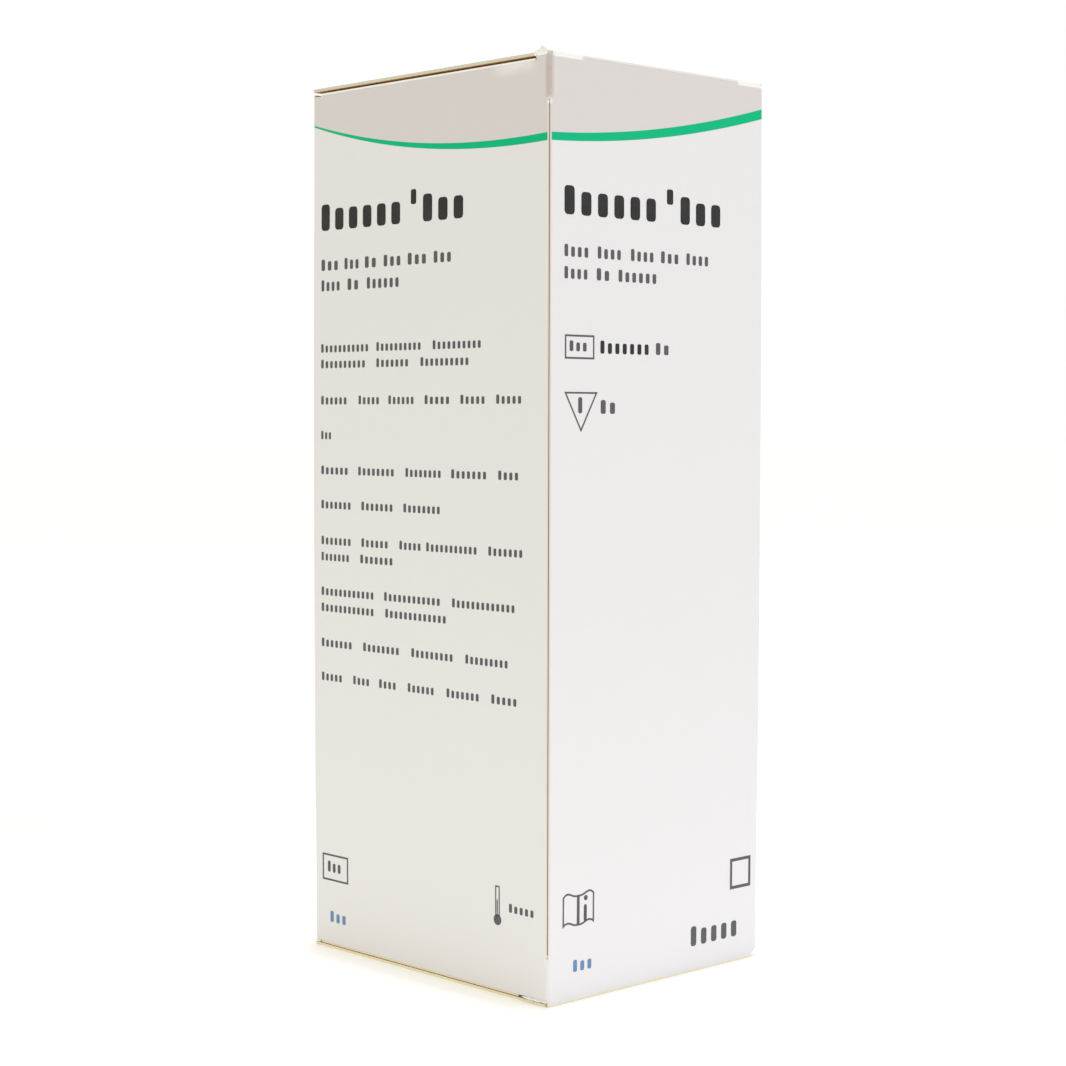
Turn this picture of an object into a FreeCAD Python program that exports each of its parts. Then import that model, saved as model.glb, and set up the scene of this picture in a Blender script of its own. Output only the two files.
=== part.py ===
import FreeCAD, Part
import math
import os

from FreeCAD import Placement, Rotation, Vector

# Reverse-tuck folding carton of urine test strips, in millimetres.
# X runs across the narrow front panel, Y from the front panel to the back panel, Z up.
# The origin is the centre of the underside, where the closed carton stands.

# ---- driving dimensions: sleeve ----
CARTON_WIDTH = 48.0
CARTON_HEIGHT = 142.0
BOARD = 0.45                # paperboard caliper
WALL_BOW = 0.22             # each wall swells by this much at half height
FOLD_RADIUS = 0.7           # outside radius of the four upright folds
GLUE_TAB_WIDTH = 12.0
GLUE_TAB_END = 4.0          # tab stops this far short of the top and bottom
GLUE_TAB_TAPER = 3.0

# ---- driving dimensions: half-cut score along the upright folds ----
SCORE_DEPTH = 0.36          # measured along the diagonal from the sharp corner
SCORE_SLIT_DEPTH = 0.14     # knife line at the bottom of the score
SCORE_SLIT_WIDTH = 0.14
SCORE_TOP_END = 7.0         # the fold is left whole for this far below the top
SCORE_BOTTOM_END = 7.3

# ---- driving dimensions: creases and flaps ----
CREASE_PLAY = 0.03          # between a flap's round nose and its socket
CREASE_HORN = math.radians(45.0)    # how far below the axis the socket's lips end
LID_SIDE_MARGIN = 0.05
LID_PLAY = 0.15             # lid to the standing corners of the side walls
DUST_REACH = 20.5
DUST_HINGE_TAPER = math.radians(32.0)
DUST_TUCK_TAPER = math.radians(8.0)
DUST_CORNER = 3.0
DUST_END_PLAY = 0.25        # crease to the standing corner by the hinge
TUCK_LENGTH = 13.0
TUCK_LEAN = math.radians(10.0)      # tuck flap leans inward from the wall it slides behind
TUCK_PLAY = 0.3
TUCK_SIDE_PLAY = 0.8
TUCK_TAPER = 1.2            # how much narrower the leading edge is, each side
TUCK_CORNER = 6.0
LOCK_SLIT_LENGTH = 7.0      # slits at both ends of the lid-to-tuck crease
LOCK_SLIT_WIDTH = 0.6
LOCK_SLIT_PLAY = 0.1
EAR_CORNER = 0.6
LOST_CORNER_WIDTH = 2.4     # foot of the right front fold, knocked off at a slant
LOST_CORNER_HEIGHT = 1.5

# ---- driving dimensions: room round the contents ----
SIDE_ROOM = 2.55            # tube to the side walls
BACK_ROOM = 4.34            # stopper to the back wall
HEADROOM = 14.3             # stopper to the closed top dust flaps

# ---- driving dimensions: tube and stopper ----
TUBE_WALL = 1.1
TUBE_FLOOR = 1.2
TUBE_FOOT_WIDTH = 2.2       # ring that the tube stands on
TUBE_FOOT_HEIGHT = 0.5
TUBE_COLLAR_WIDTH = 0.7
TUBE_COLLAR_LENGTH = 3.2
LABEL_LINE = 0.02           # glue line under the label
LABEL_THICKNESS = 0.12
LABEL_BOTTOM = 8.0          # above the tube's underside
LABEL_TOP = 18.0            # below the tube's mouth
STOPPER_OVERHANG = 1.0      # flange past the tube's wall
STOPPER_FLANGE = 3.2
STOPPER_EDGE = 0.7
STOPPER_LIP_OVERHANG = 2.1
STOPPER_LIP_WIDTH = 15.0
STOPPER_LIP_THICKNESS = 1.5
STOPPER_RIM_WIDTH = 7.0     # flat rim round the dish
STOPPER_DISH_DEPTH = 1.0
PLUG_LENGTH = 9.0
PLUG_GAP = 0.45             # plug's wall to the tube's bore
PLUG_WALL = 1.3
PLUG_TOP = 1.0              # skin between the dish and the desiccant chamber
SEAL_PLAY = 0.05            # bead crests to the tube's bore
SEAL_BEADS = 2
SEAL_BEAD_PITCH = 3.0
SEAL_BEAD_HEIGHT = 1.1
DISC_THICKNESS = 0.8
DISC_PLAY = 0.05
DISC_LEDGE = 0.5            # the disc sits on a ledge this wide
DISC_RECESS = 0.4

# ---- driving dimensions: test strips ----
STRIP_COUNT = 100
STRIP_COLUMNS = 6
STRIP_WIDTH = 5.0
STRIP_HEADROOM = 3.3        # strips to the stopper's plug
STRIP_FILM = 0.25
STRIP_COLUMN_PITCH = 5.4
STRIP_ROW_GAP = 0.06
STRIP_WALL_PLAY = 0.5       # the bundle leans against the front of the tube's bore, this far off it
ZONE_THICKNESS = 0.5        # reagent pads under their mesh, above the film
ZONE_LENGTH = 62.0
ZONE_START = 3.0            # lower end of the strip to its first pad

# ---- driving dimensions: folded leaflet ----
LEAFLET_SIDE_ROOM = 2.05    # leaflet to the side walls
LEAFLET_HEADROOM = 27.5     # leaflet to the closed top dust flaps
LEAFLET_FOLDS = 5
LEAFLET_PLY = 0.42
LEAFLET_GAP = 0.24
LEAFLET_PLAY = 0.35         # to the bottom tuck flap and to the stopper

HALF_BOARD = BOARD / 2
HALF_WIDTH = CARTON_WIDTH / 2
TUBE_RADIUS = HALF_WIDTH - BOARD - SIDE_ROOM
TUBE_COLLAR_RADIUS = TUBE_RADIUS + TUBE_COLLAR_WIDTH
STOPPER_RADIUS = TUBE_RADIUS + STOPPER_OVERHANG
STOPPER_LIP_RADIUS = TUBE_RADIUS + STOPPER_LIP_OVERHANG
LEAFLET_WIDTH = CARTON_WIDTH - 2 * (BOARD + LEAFLET_SIDE_ROOM)
LEAFLET_THICKNESS = LEAFLET_FOLDS * LEAFLET_PLY + (LEAFLET_FOLDS - 1) * LEAFLET_GAP

# The contents stand one behind the other: bottom tuck flap, leaflet, stoppered tube.
TUCK_INSET = BOARD + TUCK_PLAY + HALF_BOARD         # wall's outer face to the tuck crease's axis
TUCK_TIP_INSET = TUCK_INSET + TUCK_LENGTH * math.sin(TUCK_LEAN) + HALF_BOARD * math.cos(TUCK_LEAN)
LEAFLET_INSET = TUCK_TIP_INSET + LEAFLET_PLAY
TUBE_CENTRE_INSET = LEAFLET_INSET + LEAFLET_THICKNESS + LEAFLET_PLAY + STOPPER_RADIUS
CARTON_DEPTH = TUBE_CENTRE_INSET + STOPPER_RADIUS + BACK_ROOM + BOARD
HALF_DEPTH = CARTON_DEPTH / 2
LEAFLET_FRONT_Y = LEAFLET_INSET - HALF_DEPTH
TUBE_CENTRE_Y = TUBE_CENTRE_INSET - HALF_DEPTH
X_AXIS = Vector(1, 0, 0)
Y_AXIS = Vector(0, 1, 0)
Z_AXIS = Vector(0, 0, 1)
BEYOND = 5.0                # cutters run this far past what they cut

# The bottom closure is the top one turned half round about the carton's own X line.
TURN_OVER = Placement(Vector(0, 0, 0), Rotation(X_AXIS, 180), Vector(0, 0, CARTON_HEIGHT / 2))


class Closure:
    """One end of the carton, measured from the walls' outer faces and from the closed lid's outer face."""

    def __init__(self, hinge_corner, hinge_corner_drop, tuck_corner, tuck_corner_drop, tuck_wall_drop,
                 ear_overhang, dust_gap, dust_cutback):
        self.hinge_corner = hinge_corner            # width of the side walls' standing corner by the hinge
        self.hinge_corner_drop = hinge_corner_drop  # how far that corner stops below the lid's outer face
        self.tuck_corner = tuck_corner              # the same by the tuck flap
        self.tuck_corner_drop = tuck_corner_drop    # how far this one stops below the lid's outer face
        self.tuck_wall_drop = tuck_wall_drop        # the same for the wall that the tuck flap slides behind
        self.ear_overhang = ear_overhang            # lid's corner ears past that wall's outer face
        self.dust_gap = dust_gap                    # between the lid and the dust flaps under it
        self.dust_cutback = dust_cutback            # dust flaps' crease stops this far short of the tuck corner

    def dust_depth(self):
        """Outer face of the lid to the inner face of the closed dust flaps."""
        return 2 * BOARD + self.dust_gap


TOP = Closure(
    hinge_corner=2.8, hinge_corner_drop=0.0, tuck_corner=2.2, tuck_corner_drop=1.3, tuck_wall_drop=0.9,
    ear_overhang=0.2, dust_gap=0.35, dust_cutback=0.25)
BOTTOM = Closure(
    hinge_corner=1.5, hinge_corner_drop=0.9, tuck_corner=2.8, tuck_corner_drop=0.62, tuck_wall_drop=0.0,
    ear_overhang=-0.6, dust_gap=0.08, dust_cutback=3.6)

LID_AXIS_Z = CARTON_HEIGHT - HALF_BOARD
LID_AXIS_Y = -HALF_DEPTH + HALF_BOARD
TUCK_AXIS_Y = HALF_DEPTH - TUCK_INSET
HORN_DROP = HALF_BOARD * math.sin(CREASE_HORN)
NOSE_HALF = HALF_WIDTH - BOARD - LID_PLAY           # half length of the lid's crease
SEAT_Z = BOTTOM.dust_depth()
CLEAR_HEIGHT = CARTON_HEIGHT - SEAT_Z - TOP.dust_depth()
TUBE_LENGTH = CLEAR_HEIGHT - STOPPER_FLANGE - HEADROOM
LEAFLET_LENGTH = CLEAR_HEIGHT - LEAFLET_HEADROOM
STRIP_LENGTH = TUBE_LENGTH - PLUG_LENGTH - TUBE_FOOT_HEIGHT - TUBE_FLOOR - STRIP_HEADROOM


def box(low, high):
    """Box between two corners."""
    size = high - low
    return Part.makeBox(size.x, size.y, size.z, low)


def polygon_face(points):
    """Flat face inside a closed outline of points."""
    return Part.Face(Part.makePolygon(list(points) + [points[0]]))


def turned(shape, end):
    """A shape drawn for the top end, put at the end asked for."""
    if end is BOTTOM:
        shape.Placement = TURN_OVER.multiply(shape.Placement)
    return shape


def union(shapes):
    """One solid from pieces that meet."""
    whole = shapes[0].fuse(list(shapes[1:])).removeSplitter()
    return whole.Solids[0] if len(whole.Solids) == 1 else whole


def rounded_outline(points, radii):
    """Closed wire through points, with an arc of its own radius at each corner."""
    edges = []
    count = len(points)
    joins = []
    for i in range(count):
        here = points[i]
        back = (points[i - 1] - here).normalize()
        ahead = (points[(i + 1) % count] - here).normalize()
        if radii[i] == 0:
            joins.append((here, None, here))
            continue
        half_angle = back.getAngle(ahead) / 2
        reach = radii[i] / math.tan(half_angle)
        middle = (back + ahead).normalize()
        centre = here + middle * (radii[i] / math.sin(half_angle))
        joins.append((here + back * reach, centre - middle * radii[i], here + ahead * reach))
    for i in range(count):
        start, crown, end = joins[i]
        if crown is not None:
            edges.append(Part.Arc(start, crown, end).toShape())
        follow = joins[(i + 1) % count][0]
        if end.distanceToPoint(follow) > 1e-6:
            edges.append(Part.makeLine(end, follow))
    return Part.Wire(edges)


# ---- sleeve walls ----

def bowed_profile(half, axis):
    """Upright profile, both sides bowed outward, swept along the other horizontal axis."""
    def at(side, z):
        return axis * side + Z_AXIS * z
    middle = CARTON_HEIGHT / 2
    edges = [
        Part.Arc(at(-half, 0), at(-half - WALL_BOW, middle), at(-half, CARTON_HEIGHT)).toShape(),
        Part.makeLine(at(-half, CARTON_HEIGHT), at(half, CARTON_HEIGHT)),
        Part.Arc(at(half, CARTON_HEIGHT), at(half + WALL_BOW, middle), at(half, 0)).toShape(),
        Part.makeLine(at(half, 0), at(-half, 0)),
    ]
    along = Y_AXIS if axis == X_AXIS else X_AXIS
    reach = CARTON_WIDTH + CARTON_DEPTH
    face = Part.Face(Part.Wire(edges))
    face.translate(along * (-reach / 2))
    return face.extrude(along * reach)


def bowed_block(inset, radius):
    """The sleeve's outside, or with an inset its inside, with rounded upright corners."""
    block = bowed_profile(HALF_WIDTH - inset, X_AXIS).common(bowed_profile(HALF_DEPTH - inset, Y_AXIS))
    upright = [e for e in block.Edges if e.BoundBox.ZLength > CARTON_HEIGHT / 2]
    return block.makeFillet(radius, upright) if radius > 0 else block


def corner_groove(side_x, side_y, depth, half_width, low, high):
    """Cutter along one upright fold. It follows the bow at a fixed depth from the sharp corner."""
    out = Vector(side_x, side_y, 0).normalize()
    across = Vector(-side_y, side_x, 0).normalize()
    corner = Vector(side_x * HALF_WIDTH, side_y * HALF_DEPTH, 0)
    swell = Vector(side_x, side_y, 0) * WALL_BOW
    start = corner - out * depth
    top = start + Z_AXIS * CARTON_HEIGHT
    edges = [
        Part.Arc(start, start + swell + Z_AXIS * (CARTON_HEIGHT / 2), top).toShape(),
        Part.makeLine(top, top + out * BEYOND),
        Part.makeLine(top + out * BEYOND, start + out * BEYOND),
        Part.makeLine(start + out * BEYOND, start),
    ]
    face = Part.Face(Part.Wire(edges))
    face.translate(across * -half_width)
    groove = face.extrude(across * (2 * half_width))
    reach = CARTON_WIDTH + CARTON_DEPTH
    return groove.common(box(Vector(-reach, -reach, low), Vector(reach, reach, high)))


def sleeve_shell():
    """The four walls in one piece, with half-cut scores along the upright folds."""
    shell = bowed_block(0, FOLD_RADIUS).cut(bowed_block(BOARD, FOLD_RADIUS - BOARD))
    low, high = SCORE_BOTTOM_END, CARTON_HEIGHT - SCORE_TOP_END
    for side_x in (-1, 1):
        for side_y in (-1, 1):
            shell = shell.cut(corner_groove(side_x, side_y, SCORE_DEPTH, BEYOND, low, high))
            slit = corner_groove(side_x, side_y, SCORE_DEPTH + SCORE_SLIT_DEPTH, SCORE_SLIT_WIDTH / 2, low, high)
            shell = shell.cut(slit)
    return shell


def wall_wedge(side, axis):
    """Prism that holds one wall, mitred at 45 degrees through the upright folds."""
    half, other = (HALF_WIDTH, HALF_DEPTH) if axis == X_AXIS else (HALF_DEPTH, HALF_WIDTH)
    along = Y_AXIS if axis == X_AXIS else X_AXIS
    outer, inner = half + BEYOND, half - BEYOND
    points = [
        axis * (side * outer) - along * (other + BEYOND),
        axis * (side * outer) + along * (other + BEYOND),
        axis * (side * inner) + along * (other - BEYOND),
        axis * (side * inner) - along * (other - BEYOND),
    ]
    return polygon_face(points).extrude(Z_AXIS * CARTON_HEIGHT)


def crease_cutter(low, high, lean):
    """What a crease takes from the board that carries a flap: a round socket with a lip on its outer side.

    The crease is on the X line, the board hangs to -Z and the flap rests to +Y, turned down by the lean.
    """
    radius = HALF_BOARD + CREASE_PLAY
    lip = Vector(low, -math.sqrt(radius ** 2 - HORN_DROP ** 2), -HORN_DROP)
    bottom = Vector(low, -radius * math.sin(lean), -radius * math.cos(lean))
    crown = (lip + bottom - Vector(2 * low, 0, 0)).normalize() * radius + Vector(low, 0, 0)
    along_flap = Vector(0, math.cos(lean), -math.sin(lean)) * (2 * BEYOND)
    corners = [
        bottom + along_flap,
        Vector(low, 2 * BEYOND, BEYOND),
        Vector(low, -BEYOND, BEYOND),
        Vector(low, -BEYOND, -HORN_DROP),
        lip,
    ]
    edges = [Part.Arc(lip, crown, bottom).toShape(), Part.makeLine(bottom, corners[0])]
    edges += [Part.makeLine(one, two) for one, two in zip(corners, corners[1:])]
    return Part.Face(Part.Wire(edges)).extrude(X_AXIS * (high - low))


def end_box(y_low, y_high, drop):
    """Cutter over the whole width, from y_low to y_high, down to a drop below the lid's outer face."""
    low = Vector(-CARTON_WIDTH, y_low, CARTON_HEIGHT - drop)
    return box(low, Vector(CARTON_WIDTH, y_high, CARTON_HEIGHT + BEYOND))


def hinge_wall_trim(end):
    """What is cut from the end of the wall that carries the lid."""
    reach = NOSE_HALF + LID_PLAY
    crease = crease_cutter(-reach, reach, 0)
    crease.Placement = Placement(Vector(0, LID_AXIS_Y, LID_AXIS_Z), Rotation())
    trims = [crease]
    if end.hinge_corner_drop > 0:
        folds = end_box(-HALF_DEPTH - BEYOND, -HALF_DEPTH + BEYOND, end.hinge_corner_drop)
        between = box(Vector(-reach, -CARTON_DEPTH, 0), Vector(reach, 0, CARTON_HEIGHT + 2 * BEYOND))
        trims.append(folds.cut(between))
    return [turned(trim, end) for trim in trims]


def tuck_wall_trim(end):
    """What is cut from the end of the wall that the tuck flap slides behind."""
    return [turned(end_box(HALF_DEPTH - BEYOND, HALF_DEPTH + BEYOND, end.tuck_wall_drop), end)]


def side_wall_trim(end, side):
    """What is cut from the end of a side wall: the dust flap's crease and the corners that stop short."""
    y_start = -HALF_DEPTH + end.hinge_corner
    y_end = HALF_DEPTH - end.tuck_corner
    low, high = sorted((side * y_start, side * y_end))
    crease = crease_cutter(low, high, 0)
    crease.Placement = dust_crease(end, side)
    trims = [crease]
    if end.tuck_corner_drop > 0:
        trims.append(end_box(y_end, HALF_DEPTH + BEYOND, end.tuck_corner_drop))
    if end.hinge_corner_drop > 0:
        trims.append(end_box(-HALF_DEPTH - BEYOND, y_start, end.hinge_corner_drop))
    return [turned(trim, end) for trim in trims]


def dust_crease(end, side):
    """Where a dust flap's crease runs, for a shape drawn with its crease on the X line."""
    axis_z = CARTON_HEIGHT - end.dust_depth() + HALF_BOARD
    return Placement(Vector(side * (HALF_WIDTH - HALF_BOARD), 0, axis_z), Rotation(Z_AXIS, side * 90))


def lost_corner():
    """Cutter that takes the foot of the right front fold off at a slant."""
    foot = Vector(HALF_WIDTH, -HALF_DEPTH, 0)
    across = foot - X_AXIS * LOST_CORNER_WIDTH
    along = foot + Y_AXIS * LOST_CORNER_WIDTH
    up = foot + Z_AXIS * LOST_CORNER_HEIGHT
    outward = (along - across).cross(up - across).normalize()
    slab = Part.makeBox(CARTON_WIDTH, CARTON_WIDTH, CARTON_WIDTH, Vector(-HALF_WIDTH, -HALF_WIDTH, 0))
    slab.Placement = Placement((across + along + up) / 3, Rotation(Z_AXIS, outward))
    return slab.common(box(foot - Vector(BEYOND, BEYOND, BEYOND), foot + Vector(BEYOND, BEYOND, BEYOND)))


def front_panel(shell):
    """Narrow wall that carries the top lid. The bottom tuck flap slides behind it."""
    trims = hinge_wall_trim(TOP) + tuck_wall_trim(BOTTOM) + [lost_corner()]
    return shell.common(wall_wedge(-1, Y_AXIS)).cut(trims)


def back_panel(shell):
    """Narrow wall that carries the bottom lid. The top tuck flap slides behind it."""
    return shell.common(wall_wedge(1, Y_AXIS)).cut(tuck_wall_trim(TOP) + hinge_wall_trim(BOTTOM))


def side_panel(shell, side):
    """Broad wall that carries a dust flap at each end."""
    trims = side_wall_trim(TOP, side) + side_wall_trim(BOTTOM, side)
    if side > 0:
        trims.append(lost_corner())
    return shell.common(wall_wedge(side, X_AXIS)).cut(trims)


def glue_tab():
    """Tab of the back wall, glued inside the right wall, with tapered ends."""
    layer = bowed_block(BOARD, 0).cut(bowed_block(2 * BOARD, 0))
    x = HALF_WIDTH - BEYOND
    back = HALF_DEPTH - 2 * BOARD
    front = back - GLUE_TAB_WIDTH
    outline = [
        Vector(x, back, GLUE_TAB_END),
        Vector(x, front, GLUE_TAB_END + GLUE_TAB_TAPER),
        Vector(x, front, CARTON_HEIGHT - GLUE_TAB_END - GLUE_TAB_TAPER),
        Vector(x, back, CARTON_HEIGHT - GLUE_TAB_END),
    ]
    return layer.common(polygon_face(outline).extrude(X_AXIS * (2 * BEYOND)))


# ---- flaps: each is drawn flat, crease on the X line, reaching to +Y, mid-plane at Z = 0 ----

def flat_flap(outline, crease_low, crease_high):
    """Board cut to an outline, with a full-round nose along its crease."""
    face = Part.Face(outline)
    face.translate(Z_AXIS * -HALF_BOARD)
    plate = face.extrude(Z_AXIS * BOARD)
    nose = Part.makeCylinder(HALF_BOARD, crease_high - crease_low, Vector(crease_low, 0, 0), X_AXIS)
    return union([plate, nose])


def lid(end):
    """Lid with a nose along its own crease, a socket for the tuck flap and an ear beside each lock slit."""
    tuck_v = TUCK_AXIS_Y - LID_AXIS_Y
    full_half = HALF_WIDTH - LID_SIDE_MARGIN
    full_start = end.hinge_corner + LID_PLAY - HALF_BOARD
    ear_end = CARTON_DEPTH + end.ear_overhang - HALF_BOARD
    slit_u = HALF_WIDTH - LOCK_SLIT_LENGTH
    if end.hinge_corner_drop < BOARD + LID_PLAY:
        right = [(NOSE_HALF, 0, 0), (NOSE_HALF, full_start, 0), (full_half, full_start, 0)]
    else:
        right = [(full_half, 0, 0)]
    if end.tuck_corner_drop < BOARD + LID_PLAY:
        notch_v = CARTON_DEPTH - end.tuck_corner - LID_PLAY - HALF_BOARD
        right += [(full_half, notch_v, 0), (NOSE_HALF, notch_v, 0), (NOSE_HALF, ear_end, EAR_CORNER)]
    else:
        right += [(full_half, ear_end, EAR_CORNER)]
    corners = right + [(-u, v, r) for u, v, r in reversed(right)]
    outline = rounded_outline([Vector(u, v, 0) for u, v, _ in corners], [r for _, _, r in corners])
    plate = flat_flap(outline, -NOSE_HALF, NOSE_HALF)
    crease = crease_cutter(-slit_u, slit_u, TUCK_LEAN)
    crease.Placement = Placement(Vector(0, tuck_v, 0), Rotation(X_AXIS, -90))
    plate = plate.cut(crease)
    plate.Placement = Placement(Vector(0, LID_AXIS_Y, LID_AXIS_Z), Rotation())
    return turned(plate, end)


def tuck_flap(end):
    """Flap on the lid's free edge. It slides behind the opposite wall, and its shoulders catch in the lock slits."""
    crease_half = HALF_WIDTH - LOCK_SLIT_LENGTH - LOCK_SLIT_PLAY
    wide_half = HALF_WIDTH - BOARD - TUCK_SIDE_PLAY
    shoulder = HALF_BOARD + LOCK_SLIT_WIDTH
    right = [
        (crease_half, 0, 0),
        (crease_half, shoulder, 0),
        (wide_half, shoulder, EAR_CORNER),
        (wide_half - TUCK_TAPER, TUCK_LENGTH, TUCK_CORNER),
    ]
    corners = right + [(-u, v, r) for u, v, r in reversed(right)]
    outline = rounded_outline([Vector(u, v, 0) for u, v, _ in corners], [r for _, _, r in corners])
    flap = flat_flap(outline, -crease_half, crease_half)
    hang = Rotation(X_AXIS, -90 - math.degrees(TUCK_LEAN))
    flap.Placement = Placement(Vector(0, TUCK_AXIS_Y, LID_AXIS_Z), hang)
    return turned(flap, end)


def dust_flap(end, side):
    """Flap on a side wall, closed under the lid. Its edge by the lid's hinge is cut back so the lid clears it."""
    start = -HALF_DEPTH + end.hinge_corner + DUST_END_PLAY
    stop = HALF_DEPTH - end.tuck_corner - end.dust_cutback
    corners = [
        (start, 0, 0),
        (stop, 0, 0),
        (stop - DUST_REACH * math.tan(DUST_TUCK_TAPER), DUST_REACH, DUST_CORNER),
        (start + DUST_REACH * math.tan(DUST_HINGE_TAPER), DUST_REACH, DUST_CORNER),
    ]
    # drawn with the crease along X, then turned so that the crease runs along Y and the flap reaches inward
    points = [Vector(side * u, v, 0) for u, v, _ in corners]
    outline = rounded_outline(points, [r for _, _, r in corners])
    low, high = sorted((side * start, side * stop))
    flap = flat_flap(outline, low, high)
    flap.Placement = dust_crease(end, side)
    return turned(flap, end)


# ---- leaflet ----

def leaflet():
    """Instruction sheet in zigzag folds, standing on edge between the front wall and the tube."""
    pitch = LEAFLET_PLY + LEAFLET_GAP
    bend_outer = LEAFLET_GAP / 2 + LEAFLET_PLY
    low = SEAT_Z + bend_outer
    high = SEAT_Z + LEAFLET_LENGTH - bend_outer
    left = -LEAFLET_WIDTH / 2
    plies = []
    for i in range(LEAFLET_FOLDS):
        y = LEAFLET_FRONT_Y + i * pitch
        plies.append(box(Vector(left, y, low), Vector(-left, y + LEAFLET_PLY, high)))
    for i in range(LEAFLET_FOLDS - 1):
        centre_y = LEAFLET_FRONT_Y + i * pitch + LEAFLET_PLY + LEAFLET_GAP / 2
        at_top = i % 2 == 0
        centre = Vector(left, centre_y, high if at_top else low)
        ring = Part.makeCylinder(bend_outer, LEAFLET_WIDTH, centre, X_AXIS)
        ring = ring.cut(Part.makeCylinder(LEAFLET_GAP / 2, LEAFLET_WIDTH, centre, X_AXIS))
        far = bend_outer + BEYOND
        keep_low = Vector(left, centre_y - far, centre.z if at_top else centre.z - far)
        keep_high = Vector(-left, centre_y + far, centre.z + far if at_top else centre.z)
        plies.append(ring.common(box(keep_low, keep_high)))
    return union(plies)


# ---- tube and stopper: turned parts, drawn as half sections (radius, height above the tube's underside) ----

TUBE_BORE = TUBE_RADIUS - TUBE_WALL


def turned_part(section):
    """Solid of revolution about the tube's axis from a half section of (radius, height) points."""
    points = [Vector(r, 0, z) for r, z in section]
    body = polygon_face(points).revolve(Vector(0, 0, 0), Z_AXIS, 360)
    body.translate(Vector(0, TUBE_CENTRE_Y, SEAT_Z))
    return body


def tube():
    """Moulded tube with a foot ring, a flat floor and a collar round its mouth."""
    collar_z = TUBE_LENGTH - TUBE_COLLAR_LENGTH
    foot_inner = TUBE_RADIUS - TUBE_FOOT_WIDTH
    return turned_part([
        (0, TUBE_FOOT_HEIGHT),
        (foot_inner, TUBE_FOOT_HEIGHT),
        (foot_inner, 0),
        (TUBE_RADIUS, 0),
        (TUBE_RADIUS, collar_z - (TUBE_COLLAR_RADIUS - TUBE_RADIUS)),
        (TUBE_COLLAR_RADIUS, collar_z),
        (TUBE_COLLAR_RADIUS, TUBE_LENGTH),
        (TUBE_BORE, TUBE_LENGTH),
        (TUBE_BORE, TUBE_FOOT_HEIGHT + TUBE_FLOOR),
        (0, TUBE_FOOT_HEIGHT + TUBE_FLOOR),
    ])


def tube_label():
    """Paper wrap round the tube."""
    inner = TUBE_RADIUS + LABEL_LINE
    outer = inner + LABEL_THICKNESS
    top = TUBE_LENGTH - LABEL_TOP
    return turned_part([(inner, LABEL_BOTTOM), (outer, LABEL_BOTTOM), (outer, top), (inner, top)])


PLUG_RADIUS = TUBE_BORE - PLUG_GAP
CHAMBER_RADIUS = PLUG_RADIUS - PLUG_WALL
FLANGE_TOP = TUBE_LENGTH + STOPPER_FLANGE
CHAMBER_TOP = FLANGE_TOP - STOPPER_DISH_DEPTH - PLUG_TOP
PLUG_BOTTOM = TUBE_LENGTH - PLUG_LENGTH
DISC_BOTTOM = PLUG_BOTTOM + DISC_RECESS
DISC_TOP = DISC_BOTTOM + DISC_THICKNESS
FILL_RADIUS = CHAMBER_RADIUS - DISC_LEDGE


def stopper():
    """Press-in stopper: flange with a thumb lip and a dished top, plug with sealing beads, hollow for desiccant."""
    crest = TUBE_BORE - SEAL_PLAY
    dish_radius = STOPPER_RADIUS - STOPPER_RIM_WIDTH
    section = [
        (0, CHAMBER_TOP),
        (FILL_RADIUS, CHAMBER_TOP),
        (FILL_RADIUS, DISC_TOP),
        (CHAMBER_RADIUS, DISC_TOP),
        (CHAMBER_RADIUS, PLUG_BOTTOM),
        (PLUG_RADIUS, PLUG_BOTTOM),
    ]
    for i in range(SEAL_BEADS):
        middle = TUBE_LENGTH - PLUG_LENGTH + (i + 1) * SEAL_BEAD_PITCH
        section += [
            (PLUG_RADIUS, middle - SEAL_BEAD_HEIGHT / 2),
            (crest, middle),
            (PLUG_RADIUS, middle + SEAL_BEAD_HEIGHT / 2),
        ]
    section += [
        (PLUG_RADIUS, TUBE_LENGTH),
        (STOPPER_RADIUS, TUBE_LENGTH),
        (STOPPER_RADIUS, FLANGE_TOP - STOPPER_EDGE),
        (STOPPER_RADIUS - STOPPER_EDGE, FLANGE_TOP),
        (dish_radius, FLANGE_TOP),
        (dish_radius - STOPPER_DISH_DEPTH, FLANGE_TOP - STOPPER_DISH_DEPTH),
        (0, FLANGE_TOP - STOPPER_DISH_DEPTH),
    ]
    body = turned_part(section)
    lip = turned_part([
        (TUBE_COLLAR_RADIUS, TUBE_LENGTH),
        (STOPPER_LIP_RADIUS, TUBE_LENGTH),
        (STOPPER_LIP_RADIUS, TUBE_LENGTH + STOPPER_LIP_THICKNESS),
        (TUBE_COLLAR_RADIUS, TUBE_LENGTH + STOPPER_LIP_THICKNESS),
    ])
    half_lip = STOPPER_LIP_WIDTH / 2
    window = box(
        Vector(-STOPPER_LIP_RADIUS - BEYOND, TUBE_CENTRE_Y - half_lip, SEAT_Z),
        Vector(0, TUBE_CENTRE_Y + half_lip, SEAT_Z + FLANGE_TOP),
    )
    return union([body, lip.common(window)])


def desiccant():
    """Desiccant fill of the stopper's chamber, packed flat against the disc."""
    return turned_part([(0, DISC_TOP), (FILL_RADIUS, DISC_TOP), (FILL_RADIUS, CHAMBER_TOP), (0, CHAMBER_TOP)])


def desiccant_disc():
    """Card disc that closes the chamber, on its ledge in the plug."""
    radius = CHAMBER_RADIUS - DISC_PLAY
    return turned_part([(0, DISC_BOTTOM), (radius, DISC_BOTTOM), (radius, DISC_TOP), (0, DISC_TOP)])


# ---- test strips: upright in columns on the tube's floor ----

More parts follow.
